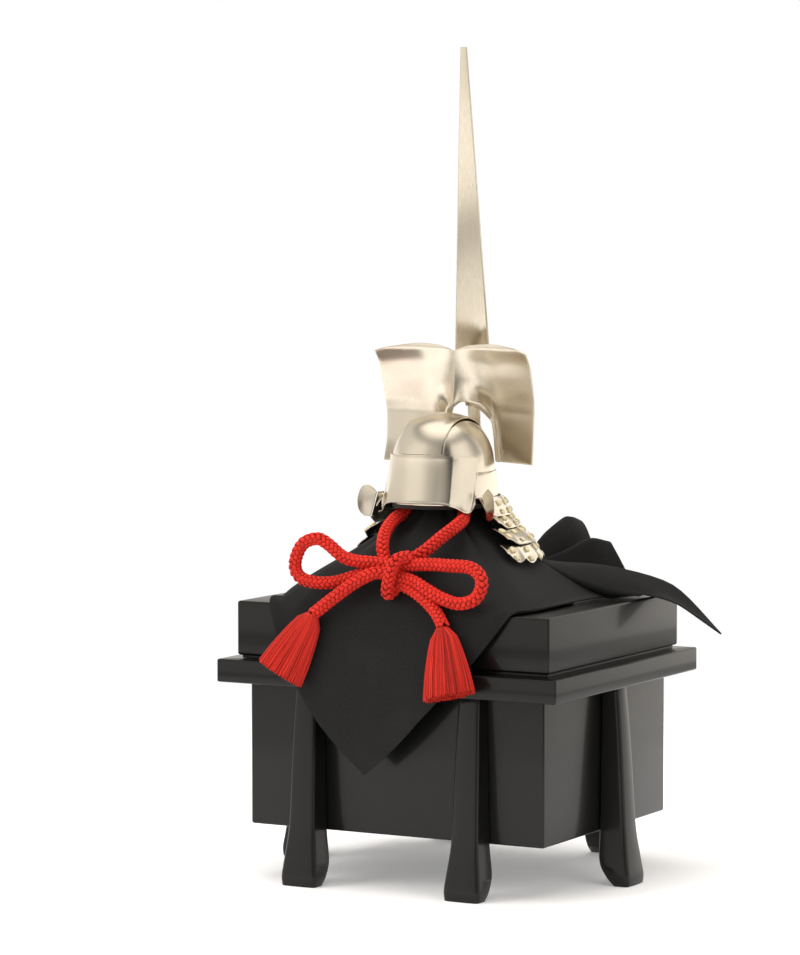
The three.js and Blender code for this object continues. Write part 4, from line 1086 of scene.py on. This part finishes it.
class HELMET_OT_box(bpy.types.Operator):
    """Builds the lid, the rim board, the body and the six flaring legs"""
    bl_idname = "display_helmet.box"
    bl_label = "Box"

    def execute(self, context):
        r = context.scene.display_helmet.box.edge_round / MM
        black = [finish("lacquer")]
        lid = [rectangle(BOX_X - LID_WALL, BOX_Y - LID_WALL, z, 1)
               for z in (LID_TOP - LID_WALL, RIM_TOP + GAP)]
        lid += [rectangle(BOX_X - FOOT_IN, BOX_Y - FOOT_IN, z, r) for z in (RIM_TOP + GAP, FOOT_BOTTOM)]
        lid += rolled(BOX_X, BOX_Y, LID_BOTTOM, LID_TOP, r)
        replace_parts(make("lid", *loft(lid), black, "lacquer", sharp=50), "box_lid")

        bx, by = BOX_X - BODY_IN, BOX_Y - BODY_IN
        rim = rolled(BOX_X + RIM_OUT, BOX_Y + RIM_OUT, RIM_BOTTOM, RIM_TOP, 1.2)
        rim += [rectangle(bx + GAP, by + GAP, z, 1.5) for z in (RIM_TOP, RIM_BOTTOM)]
        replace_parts(make("rim_board", *loft(rim, closed=True), black, "lacquer", sharp=50), "box_rim")

        body = [rectangle(bx - BOARD, by - BOARD, z, 1) for z in (BODY_BOTTOM + BOARD, LIP_TOP)]
        body += [rectangle(bx - LIP_IN, by - LIP_IN, z, 1.5) for z in (LIP_TOP, RIM_TOP)]
        body += rolled(bx, by, BODY_BOTTOM, RIM_TOP - 0.5, 1.5)[::-1]
        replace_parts(make("body_board", *loft(body), black, "lacquer", sharp=50), "box_body")

        for end, sign, turn in (("front", -1, 0), ("back", 1, 180)):
            for side, leg_x in (("left", -LEG_SPREAD), ("right", LEG_SPREAD)):
                self.leg(f"{end}_{side}", leg_x, sign * by, turn, black)
        self.leg("side_right", bx, 0, 90, black)
        self.leg("side_left", -bx, 0, -90, black)
        return {"FINISHED"}

    def leg(self, name, face_x, face_y, turn, materials):
        """A leg on the body's face, flaring out toward its foot, with a rounded outer side."""
        a = math.radians(turn)
        quarter, front = np.radians(np.linspace(0, 90, 6)), np.linspace(1, -1, 7)[1:-1]
        rings = []
        for z, half, inner, outer in through(LEG_SECTIONS, 6):
            r = min(LEG_ROUND, (outer - inner) / 2.6)
            outline = [(-half + 1, inner), (half - 1, inner), (half, inner + 1)]
            outline += [(half - r + r * math.cos(b), outer - r + r * math.sin(b)) for b in quarter]
            outline += [((half - r) * f, outer + LEG_BULGE * (1 - f * f)) for f in front]
            outline += [(-half + r - r * math.sin(b), outer - r + r * math.cos(b)) for b in quarter]
            outline += [(-half, inner + 1)]
            rings.append([(u * math.cos(a) + v * math.sin(a) + face_x,
                           u * math.sin(a) - v * math.cos(a) + face_y, max(z, 0)) for u, v in outline])
        leg = make(f"leg_{name}_turned", *loft(rings), materials, "lacquer", sharp=50)
        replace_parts(rounded(leg, 0.5 * MM, 50), f"leg_{name}")


# The helmet's bowl and plates

BOWL_PROFILE = [
    # z, mean radius
    (BOWL_TOP, 0), (345.7, 6), (344.4, 12.5), (341.6, 20.4), (337, 27.4), (330, 32.6), (322, 36.2),
    (314, 37.9), (300, 39.1), (290, 39.6), (BOWL_BOTTOM, 39.9),
]
DOME = through(BOWL_PROFILE, 6, before=(345.7, -6))
dome_radius = Smooth([(z, r) for z, r in DOME])
dome_height = Smooth([(r, z) for z, r in DOME])
CROWN_HALF, CROWN_FRONT, CROWN_BACK, CROWN_LIFT = 18.0, 318.4, 304.6, 1.05
BAND_TOP, BAND_BOTTOM = 305, BOWL_BOTTOM + 0.6
BAND_FRONT = (68.3, 62)  # degrees from the front to the band's end, at its top and its bottom
BROW_TOP, BROW_REACH = 317.4, 45.2  # height of its top, radius of its lower edge
BROW_ENDS = (70, 61)  # degrees from the front to its end, at the top and at the lower edge
BROW_EDGE = Smooth([(0, 283.2), (25, 282.8), (40, 280), (53, 275.6), (57, 277), (61, 283)])
LINING_RADIUS, LINING_TOP, LINING_BOTTOM, LINING_WALL = 37.9, 290, 278, 1.2


def oval(azimuth, radius, z, wide=BOWL_WIDE, long=BOWL_LONG):
    """Points at azimuths in degrees, 0 at the front and 90 at +X, round the helmet's axis."""
    a = np.radians(azimuth)
    x = radius * wide * np.sin(a)
    y = HELMET_Y - radius * long * np.cos(a)
    return np.stack(np.broadcast_arrays(x, y, z), axis=-1).astype(float)


def metal_wall(name, outer, depth, replaced, around=False, pole=False, inner="plated"):
    """A plate of sheet metal with its outer side on the given grid."""
    points, faces, inside, _ = wall(outer, pushed(outer, -depth, around, pole), around, pole)
    plate = make(name, points, faces, [finish("plated"), finish(inner)], "plated_metal", index=inside)
    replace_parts(rounded(plate, bpy.context.scene.display_helmet.helmet.plate_edge), replaced)


class HELMET_OT_bowl(bpy.types.Operator):
    """Builds the bowl, the crown plate, the base band, the brow plate and the lining"""
    bl_idname = "display_helmet.bowl"
    bl_label = "Bowl and plates"

    def execute(self, context):
        azimuth = np.arange(96) * 360 / 96
        dome = np.stack([oval(azimuth, r, z) for z, r in DOME])
        metal_wall("bowl_dome", dome, BOWL_WALL, "bowl", around=True, pole=True)

        t = np.linspace(-1, 1, 61)[:, None]
        x = CROWN_HALF / BOWL_WIDE * np.linspace(-1, 1, 21)[None, :]
        end = np.where(t < 0, dome_radius(CROWN_FRONT), dome_radius(CROWN_BACK))
        y = np.sin(t * math.pi / 2) * np.sqrt(end * end - x * x)
        base = np.stack([np.broadcast_to(x * BOWL_WIDE, y.shape), HELMET_Y + y * BOWL_LONG,
                         dome_height(np.hypot(x, y))], axis=-1)
        metal_wall("crown_sheet", pushed(base, -CROWN_LIFT - PLATE), -PLATE, "crown_plate")

        rows = []
        for t in np.linspace(0, 1, 8):
            front = BAND_FRONT[0] + (BAND_FRONT[1] - BAND_FRONT[0]) * t
            z = BAND_TOP + (BAND_BOTTOM - BAND_TOP) * t
            rows.append(oval(np.linspace(front, 360 - front, 80), dome_radius(z) + GAP + PLATE + 0.5 * t, z))
        metal_wall("base_band_sheet", np.stack(rows), PLATE, "base_band")

        self.brow()
        outer = np.stack([oval(azimuth, LINING_RADIUS, z) for z in np.linspace(LINING_TOP, LINING_BOTTOM, 4)])
        felt = thickened(outer, -LINING_WALL, around=True)
        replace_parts(make("lining_felt", *felt, [finish("lining")], "lining"), "lining_band")
        return {"FINISHED"}

    def brow(self):
        """The plate over the forehead, whose ends turn down in small points."""
        wide_top, wide_low = BROW_ENDS
        off = np.abs(np.linspace(-wide_low, wide_low, 123))
        low = BROW_EDGE(off)
        corner = 1.1 * np.maximum(0, 1 - np.abs(off - 35.5) / 13) ** 1.2
        top = dome_radius(BROW_TOP) + GAP + PLATE + (off / wide_low) ** 2
        rows = []
        for t in [*np.linspace(0, 0.94, 16), 0.97, 1.0]:
            radius = top + (BROW_REACH - top) * t ** 1.35 + corner * (0.2 + t)
            radius = radius + 0.8 * max(0, (t - 0.9) / 0.1) ** 2
            wide = wide_top + (wide_low - wide_top) * t
            rows.append(oval(np.linspace(-wide, wide, len(off)), radius, BROW_TOP + (low - BROW_TOP) * t))
        metal_wall("brow_sheet", np.stack(rows), PLATE, "brow_plate")


# The crest and the spike

WING_TOP = Smooth([(0, 393.3), (5, 395), (13.5, 397.5), (28, 398.6), (41, 397.5), (54, 394.7), (63.4, 391.8)])
WING_BOTTOM = 309.0
WING_SIDE = Smooth([(309, 62.8), (327, 62), (346, 62.2), (360, 63.1), (376, 63.6), (392, 63.4)])
WING_SHARES = (0, 0.12, 0.25, 0.45, 0.7, 1)
WING_DEPTH = [
    # z, then y at the shares of the half width
    (309, 12, 12, 12.5, 13, 6, -5), (327, -14, 4, 10, 10.5, 6, -1.5), (346, -24, -6, 5, 9, 6, -0.8),
    (349.5, -20.5, -5, 4.6, 8.2, 5.3, -1.3), (352, -15, -4.4, 4.3, 7.4, 4.7, -1.7),
    (355, -11.2, -3.6, 3.8, 6.5, 4, -2.2), (362, -10.2, -3.6, 1.8, 4.3, 1.6, -4.2),
    (372, -10, -4.6, -1, 1, -2, -7), (384, -10.4, -7.4, -5.2, -2.9, -5.4, -11.6),
    (395, -11.4, -11.2, -10.9, -9.6, -12.4, -20.5),
]
WING_COLUMNS = [Smooth(WING_DEPTH, k + 1) for k in range(len(WING_SHARES))]
ARCH_HALF = 23.3
ARCH = Smooth([(0, 348.6), (1.2, 349.4), (2.2, 352.4), (3.4, 354.3), (5.2, 354.7), (11, 351.8), (17.4, 346),
               (21.8, 340.4), (23, 331), (ARCH_HALF, 300)])
CREST_WALL = 1.1
CREST_HALF = 62.6  # the half width that the shares are of
ROLL, ROLL_REACH = 5.6, 0.34  # depth of the roll at the arch, and its reach as a share of the arch
ARCH_RISE, ARCH_POWER = 45.7, 3.4
EDGE_SHARES = [0, 0.01, 0.02, 0.03, 0.04, 0.055, 0.07, 0.09, 0.11, 0.14, 0.17, 0.2, 0.23, 0.26, 0.29, 0.315,
               0.335, 0.35, 0.36, 0.366, 0.37, 0.373, 0.39, 0.42, 0.46, 0.52, 0.58, 0.64, 0.7, 0.76,
               0.82, 0.88, 0.93, 0.97, 1]  # closest at the arch's middle and its side
LIP_HALF, LIP_REACH, LIP_GROWS, LIP_BACK, LIP_WALL = 62.4, 2.8, 1.2, 2.6, 0.8
LIP_MIDDLE, LIP_LEVEL = 326.0, 340  # it points to the first height, and level under the second


def wing_y(share, z):
    """Depth of the crest at shares of its half width and heights, both of one shape."""
    columns = np.stack([column(z) for column in WING_COLUMNS])
    out = np.empty(share.shape)
    for at in np.ndindex(share.shape):
        out[at] = Smooth(list(zip(WING_SHARES, columns[(slice(None), *at)])))(share[at])
    return out


def rolled_back(x, z):
    """How far the crest's sheet rolls back toward the edge of its arch."""
    out = ((np.abs(x) / ARCH_HALF) ** ARCH_POWER
           + (np.maximum(z - WING_BOTTOM, 0) / ARCH_RISE) ** ARCH_POWER) ** (1 / ARCH_POWER)
    near = np.clip(1 - (out - 1) / ROLL_REACH, 0, 1) ** 2
    return ROLL * near * ease((np.abs(x) - 1) / 6)


class HELMET_OT_crest(bpy.types.Operator):
    """Builds the two-lobed crest plate and the tall rear spike in its socket"""
    bl_idname = "display_helmet.crest"
    bl_label = "Crest and spike"

    def execute(self, context):
        shares = np.array([*[-share for share in EDGE_SHARES[:0:-1]], *EDGE_SHARES])
        t = np.linspace(0, 1, 56)[:, None]
        x = shares * CREST_HALF
        low = np.where(np.abs(x) < ARCH_HALF, np.maximum(WING_BOTTOM, ARCH(np.abs(x))), WING_BOTTOM)
        high = WING_TOP(np.abs(x))
        z = high + (low - high) * t
        share = np.broadcast_to(np.abs(shares), z.shape)
        grid = np.stack([np.sign(shares) * share * WING_SIDE(z), wing_y(share, z) + rolled_back(x, z), z],
                        axis=-1)
        crest = make("crest_lobes", *joined(thickened(grid, -CREST_WALL), self.lip(-1), self.lip(1)),
                     [finish("satin")], "plated_metal", sharp=32)
        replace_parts(rounded(crest, 0.22 * MM, 50), "crest_plate")
        self.spike()
        return {"FINISHED"}

    def lip(self, side):
        """The bent edge that runs round half of the arch."""
        x = ARCH_HALF * np.sin(np.linspace(0.13, 1, 30) * math.pi / 2)
        z = np.maximum(ARCH(x), WING_BOTTOM + 0.3)
        x = np.append(x, [ARCH_HALF] * 8)
        z = np.append(z, np.linspace(z[-1], WING_BOTTOM + 0.3, 9)[1:])
        y = wing_y(x / LIP_HALF, z) + rolled_back(x, z) + 0.5
        edge = np.stack([x, y, z], axis=-1)
        inward = np.array([0, 0, LIP_MIDDLE]) - edge * (1, 0, 1)
        inward[:, 2] = np.where(z < LIP_LEVEL, 0, inward[:, 2])
        inward /= np.linalg.norm(inward, axis=1, keepdims=True)
        reach = (LIP_REACH + LIP_GROWS * ease(x / ARCH_HALF * 2 - 1))[:, None]
        rows = [edge + inward * reach * a + (0, LIP_BACK * b, 0)
                for a, b in ((-0.12, 0), (0.05, 0.1), (0.3, 0.45), (0.65, 0.8), (1, 1))]
        return thickened(np.stack(rows) * (side, 1, 1), LIP_WALL * side)

    def spike(self):
        """The blade, which leans forward as it rises, and its socket's metal."""
        rings = []
        for z, half in ((SPIKE_TOP, 2.7), (SHOULDER, 2.7 + (SPIKE_TOP - SHOULDER) * 0.0537),
                        (SHOULDER - 4, 5.5), (326, 5), (303, 5)):
            y = 5.2 + (SPIKE_TOP - z) * 0.064
            edge = half * 0.92
            rings.append([(-half, y, z), (-edge, y - 0.9, z), (edge, y - 0.9, z),
                          (half, y, z), (edge, y + 0.9, z), (-edge, y + 0.9, z)])
        blade = make("spike_blade", *loft(rings), [finish("spike")], "spike_metal", sharp=20)
        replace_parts(rounded(blade, 0.3 * MM, 25), "rear_spike")
        repaint("spike_socket", "plated")


# The neck guard and its lacing

LAMES = [
    # front end angle, top radius, top z, bottom radius, bottom z
    (67, 43.6, 286.5, 51.5, 272.6), (75, 47.4, 274.2, 57.2, 263.8), (72, 53.2, 264.6, 69.2, 252.8),
    (68, 65.6, 253.2, 75.2, 240.6),
]
FOLDED_IN = (0.1, 0.02, 0.34, 0.32)  # how far each plate's left front end is bent in
FOLD_RADIUS, FOLD_ANGLE = 43.6, 45  # radius that the end is bent toward, degrees over which it bends
ROUND_FROM, ROUND_OVER = 43, 25  # radius up to which the guard is oval, and over which it grows round
SCALLOP, END_RISE, END_SHARE = 4.2, 5, 0.06
SWELL = 0.8
LACING = [
    # row, place down the plate, length, width, half angle of the cross, half distance of its strands
    ("upper", 0.36, 1.15, 1.2, 0.12, 0.36), ("lower", 0.8, 1.2, 1.25, 0.75, 0.0),
]
EAR_LEAF = through([(0.04, 0.1), (0.3, -0.04), (0.55, -0.1), (0.82, 0.05), (0.98, 0.4), (0.93, 0.74),
                    (0.66, 0.96), (0.3, 1.04), (0.04, 1.03)], 6)
EAR_LAYERS = [
    # size of the leaf, depth
    (0.03, -0.9), (0.5, -0.75), (0.85, -0.35), (0.97, 0), (1, 0.3), (0.97, 0.75), (0.85, 0.65),
    (0.5, 0.2), (0.03, 0.05),
]
EAR_FOLD = np.array([(43.4, -48.2, 290), (48.6, -49.6, 271)])  # upper and lower end
EAR_TIP = np.array([(57.6, -55, 293), (58.2, -55, 270.5)])
STRIP_WALL = 0.8


def guard(azimuth, radius, z):
    """Like oval, growing round as the radius grows."""
    t = np.clip((np.asarray(radius) - ROUND_FROM) / ROUND_OVER, 0, 1)
    return oval(azimuth, radius, z, BOWL_WIDE + (1 - BOWL_WIDE) * t, BOWL_LONG + (1 - BOWL_LONG) * t)


def lame_point(row, azimuth, t, scallops):
    """Points on a neck plate's outer side, at shares t from its top to its lower edge."""
    end, top_r, top_z, bottom_r, bottom_z = LAMES[row]
    u = (azimuth - end) / (360 - 2 * end)
    dip = SCALLOP * t * (np.abs(np.sin(u * scallops * math.pi)) - 0.5) if row == 3 else 0
    rise = END_RISE * ease(1 - np.minimum(u, 1 - u) / END_SHARE) * t
    swell = SWELL * math.sin(math.pi * t)
    radius = top_r + (bottom_r - top_r) * t + swell * 0.6
    folded_in = FOLDED_IN[row] * ease(1 - (360 - end - azimuth) / FOLD_ANGLE)
    return guard(azimuth, radius - (radius - FOLD_RADIUS) * folded_in,
                 top_z + (bottom_z - top_z) * t + rise - dip + swell * 0.5)


class HELMET_OT_neck_guard(bpy.types.Operator):
    """Builds the four flaring neck plates, their cream lacing and the ear plates"""
    bl_idname = "display_helmet.neck_guard"
    bl_label = "Neck guard"

    def execute(self, context):
        sizes = context.scene.display_helmet.helmet
        tree = knot_tree()
        for row, (end, *_) in enumerate(LAMES):
            count = sizes.scallops * 8 + 1 if row == 3 else 121
            a = np.linspace(end, 360 - end, count)
            grid = np.stack([lame_point(row, a, t, sizes.scallops) for t in np.linspace(0, 1, 7)])
            metal_wall(f"neck_plate_{row + 1}", grid, PLATE, f"neck_lame_{row + 1}", inner="inner")
            for index, (kind, t, long, wide, cross, spread) in enumerate(LACING):
                points, facing, down = self.knot_places(row, t, sizes.scallops)
                strand = (sizes.knot_length * long * 0.9, sizes.knot_width * wide, sizes.knot_width)
                grown(f"lacing_{row + 1}_{kind}", points_mesh("knots", points, facing=facing, down=down),
                      tree, "lining", Strand=strand, Cross=cross, Spread=spread * sizes.knot_width,
                      Seed=row * 2 + index, Material=finish("lace"))
        self.ears()
        return {"FINISHED"}

    def knot_places(self, row, t, scallops):
        """Where the knots of one row stand, the way that they face, and the way down the plate."""
        end = LAMES[row][0]
        step = (360 - 2 * LAMES[3][0]) / scallops
        a = LAMES[3][0] + step * (np.arange(scallops) + 0.5)
        a = a[(a > end + 2) & (a < 358 - end)]
        place = lame_point(row, a, t, scallops)
        ahead = lame_point(row, a + 0.5, t, scallops) - place
        down = lame_point(row, a, t + 0.05, scallops) - place
        facing = np.cross(down, ahead)
        facing /= np.linalg.norm(facing, axis=1, keepdims=True)
        down /= np.linalg.norm(down, axis=1, keepdims=True)
        return place + facing * 0.5, facing, down

    def ears(self):
        """The turned-back leaves at the plates' front ends, each with a strip folded over."""
        (top, low), (tip_top, tip_low) = EAR_FOLD, EAR_TIP
        for side, sign in (("left", -1), ("right", 1)):
            rings = []
            for scale, depth in EAR_LAYERS:
                ring = []
                for out, down in 0.5 + (EAR_LEAF - 0.5) * scale:
                    a = top + (low - top) * down
                    b = tip_top + (tip_low - tip_top) * down
                    p = a + (b - a) * out
                    ring.append((sign * p[0], p[1] + 0.3 - depth, p[2]))
                rings.append(ring)
            strip = []
            for share in (0, 1):
                x, y, z = top + (low - top) * (0.1 + 0.93 * share)
                strip.append([(sign * (x - 2.6 * k), y + 0.6 + 4.6 * k, z + 0.4 * k)
                              for k in (0, 0.35, 0.7, 1)])
            band = thickened(np.array(strip), STRIP_WALL * sign)
            ear = make(f"ear_leaf_{side}", *joined(loft(rings), band), [finish("plated")],
                       "plated_metal", sharp=45)
            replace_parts(ear, f"ear_plate_{side}")


# The draped cloth

DRAPE = [
    # azimuth, upper slope, lower slope, landing, midway, hem: x, y, z of the cloth's underside
    (0, (0, -73, 256), (0, -93, 236), (0, -111.2, 208.6), (0, -122.3, 165.4), (0, -124.4, 87)),
    (24, (19, -69, 256), (29, -92, 235), (40, -111.2, 208.6), (44, -122.3, 165.4), (46, -124.2, 131)),
    (44, (33, -61, 255), (56, -88, 232), (76, -111, 208.8), (79, -116, 193), (81, -120, 176)),
    (53, (40, -55, 254), (68, -80, 231), (92, -104, 211.5), (97, -109, 209.2), (100.5, -110.7, 208.6)),
    (66, (44, -46, 254), (74, -62, 232), (97, -76, 215), (104, -77, 209.4), (106, -76, 208.4)),
    (102, (44, -18, 253), (67, -4, 236), (86, 8, 222), (99, 20, 211.5), (106, 30, 208.4)),
    (109, (42, -13, 252), (65, 3, 236), (88, 14, 224), (112, 28, 214), (131, 39, 211.5)),
    (116, (40, -8, 252), (62, 9, 236), (92, 27, 228.5), (128, 46, 217), (153, 57, 203)),
    (125, (36, 0, 252), (57, 18, 236), (98, 44, 231), (142, 72, 215), (172, 95, 178)),
    (131, (34, 3, 251), (54, 22, 233), (90, 52, 222), (131, 78, 213), (149, 90, 201)),
    (137, (32, 6, 250), (51, 27, 231), (78, 56, 213), (104, 76, 211.5), (131.5, 90, 212)),
    (141, (30, 9, 250), (48, 30, 232), (70, 55, 215), (88, 76, 211), (101, 94, 211)),
    (145, (28, 12, 250), (46, 33, 234), (61, 54, 239), (74, 73, 247), (83, 88, 244)),
    (149, (26, 14, 249), (42, 36, 232), (55, 60, 228), (67, 79, 240), (72, 94, 244)),
    (153, (23, 16, 249), (37, 40, 231), (48, 66, 231), (57, 84, 243), (61, 99, 243)),
    (159, (18, 19, 250), (30, 45, 234), (39, 68, 252), (45, 90, 262), (49, 105, 258)),
    (167, (12, 20, 249), (20, 47, 230), (30, 111.3, 208.9), (33, 115.6, 194), (34, 122.4, 166)),
    (174, (6, 21, 250), (10, 48, 234), (15, 111.5, 209.6), (17, 122.5, 166), (17, 124, 146)),
    (180, (0, 21, 250), (0, 48, 232), (0, 111.2, 208.8), (0, 122.4, 165.6), (0, 124.4, 100)),
]
CRISP = (0, 44, 125, 145, 159, 180)  # azimuths of the rows that are corners or crisp folds
FRONT_SWAY = -12.0  # how far the front's hem hangs to the left
POST_RADIUS = 13.0
SHOWN_WALL = 1.3  # thickness of the cloth
GATHER_DEPTH = 1.5
CLEAR = 0.7  # between the box and the cloth's underside
LIFTED = 7  # what lies no deeper than this is lifted, not moved aside


class HELMET_OT_cloth(bpy.types.Operator):
    """Drapes the square black cloth over the post and the box"""
    bl_idname = "display_helmet.cloth"
    bl_label = "Cloth"

    def execute(self, context):
        sizes = context.scene.display_helmet.cloth
        rows = [self.row(row, 1) for row in DRAPE] + [self.row(row, -1) for row in DRAPE[-2:0:-1]]
        lines = through(np.stack(rows, axis=1), 6, bend=0.4)
        grid = self.around(np.swapaxes(lines, 0, 1))
        grid = self.off_box(grid, BOX_X, BOX_Y, LID_TOP)
        grid = self.off_box(grid, BOX_X + RIM_OUT, BOX_Y + RIM_OUT, RIM_TOP)
        grid = self.creased(grid, sizes.crease_depth / MM)
        centre = np.broadcast_to((0, HELMET_Y, CLOTH_TOP), (1, *grid.shape[1:]))
        under = np.concatenate([centre, grid])
        over = pushed(under, SHOWN_WALL, True, True)
        points, faces, _, used = wall(over, under, True, True)
        run = np.concatenate([[np.zeros(under.shape[1])],
                              np.cumsum(np.linalg.norm(np.diff(under, axis=0), axis=2), axis=0)])
        a = np.linspace(0, TURN, under.shape[1], endpoint=False)
        flat = np.stack([run * np.sin(a), run * np.cos(a)], axis=-1).reshape(-1, 2) * MM
        cloth = make("draped_cloth", points, faces, [finish("crepe")], "cloth",
                     uv=np.concatenate([flat, flat])[used], sharp=80)
        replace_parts(cloth, "cloth")
        repaint("helmet_post", "wood")
        return {"FINISHED"}

    def row(self, row, side):
        """One line down the cloth, from the post to the hem, on the right or mirrored on the left."""
        azimuth, *far = row
        near = [(POST_RADIUS + 1, CLOTH_TOP), (POST_RADIUS + 2.4, CLOTH_TOP - 3), (16.5, 300), (20, 275.5)]
        points = [guard(side * azimuth, radius, z) for radius, z in near]
        for x, y, z in far:
            sway = FRONT_SWAY * float(ease((209 - z) / 70)) if y < -100 else 0
            points.append(np.array([side * x + sway, y, z]))
        return np.stack(points)

    def around(self, rows):
        """Smooth round the cloth, but sharp at its corners and along its crisp folds near the hem."""
        steps = 8
        soft = through(rows, steps, loop=True, bend=0.4)
        straight = through(rows, steps, loop=True, bend=0)
        azimuths = [row[0] for row in DRAPE]
        crisp = np.array([a in CRISP for a in azimuths + azimuths[-2:0:-1]], float)
        t = np.arange(steps) / steps
        near = np.concatenate([crisp[i] * (1 - t) + crisp[(i + 1) % len(crisp)] * t
                               for i in range(len(crisp))])[:, None]
        far = ease((np.linspace(0, 1, rows.shape[1]) - 0.45) / 0.25)[None, :]
        share = (near * far)[..., None]
        return np.swapaxes(soft + (straight - soft) * share, 0, 1)

    def off_box(self, grid, x, y, top):
        """Moves what lies in the box out of its nearest face."""
        out = grid.copy()
        px, py, pz = grid[..., 0], grid[..., 1], grid[..., 2]
        x, y, top = x + CLEAR, y + CLEAR, top + CLEAR
        inside = (np.abs(px) < x) & (np.abs(py) < y) & (pz < top)
        out_x, out_y = x - np.abs(px), y - np.abs(py)
        up = inside & (top - pz <= np.maximum(LIFTED, np.minimum(out_x, out_y)))
        side = inside & ~up & (out_x < out_y)
        front = inside & ~up & ~side
        out[..., 2] = np.where(up, top, pz)
        out[..., 0] = np.where(side, np.sign(px) * x, px)
        out[..., 1] = np.where(front, np.sign(py) * y, py)
        return out

    def creased(self, grid, depth):
        """Gathers round the neck and small creases further out."""
        count, around = grid.shape[:2]
        a = np.linspace(0, TURN, around, endpoint=False)
        t = np.linspace(0, 1, count)[:, None]
        gather = ease((t - 0.12) / 0.15) * (1 - ease((t - 0.42) / 0.3))
        wave = np.sin(a * 17 + 1.3 * np.sin(a * 3)) + 0.6 * np.sin(a * 29 + 2)
        push = gather * wave * GATHER_DEPTH
        rng = np.random.default_rng(5)
        for _ in range(9):
            k, m, phase = rng.integers(3, 12), rng.uniform(4, 14), rng.uniform(0, TURN)
            push = push + depth * 0.35 * ease((t - 0.35) / 0.2) * np.sin(a * k + m * t * 2 + phase)
        return grid + (pushed(grid, 1.0, True) - grid) * (push + 0.4)[..., None]


# Panel, registration and the build

OPERATORS = (HELMET_OT_stage, HELMET_OT_cords, HELMET_OT_box, HELMET_OT_bowl, HELMET_OT_crest,
             HELMET_OT_neck_guard, HELMET_OT_cloth)


class HELMET_PT_build(bpy.types.Panel):
    """Lists the pieces and their sizes"""
    bl_idname = "HELMET_PT_build"
    bl_label = "Display helmet"
    bl_space_type = "VIEW_3D"
    bl_region_type = "UI"
    bl_category = "Display helmet"

    def draw(self, context):
        settings = context.scene.display_helmet
        for group in ("helmet", "cord", "box", "cloth", "studio"):
            box = self.layout.box()
            box.label(text=group.capitalize())
            sizes = getattr(settings, group)
            for key in sizes.__annotations__:
                box.prop(sizes, key)
        for operator in OPERATORS:
            self.layout.operator(operator.bl_idname)


CLASSES = (HelmetSizes, CordSizes, BoxSizes, ClothSizes, StudioSettings, HelmetSettings, *OPERATORS,
           HELMET_PT_build)


def register():
    for each in CLASSES:
        bpy.utils.register_class(each)
    bpy.types.Scene.display_helmet = PointerProperty(type=HelmetSettings)


def unregister():
    del bpy.types.Scene.display_helmet
    for each in reversed(CLASSES):
        bpy.utils.unregister_class(each)


def main():
    register()
    for operator in OPERATORS:
        group, name = operator.bl_idname.split(".")
        getattr(getattr(bpy.ops, group), name)()


if __name__ == "__main__":
    main()
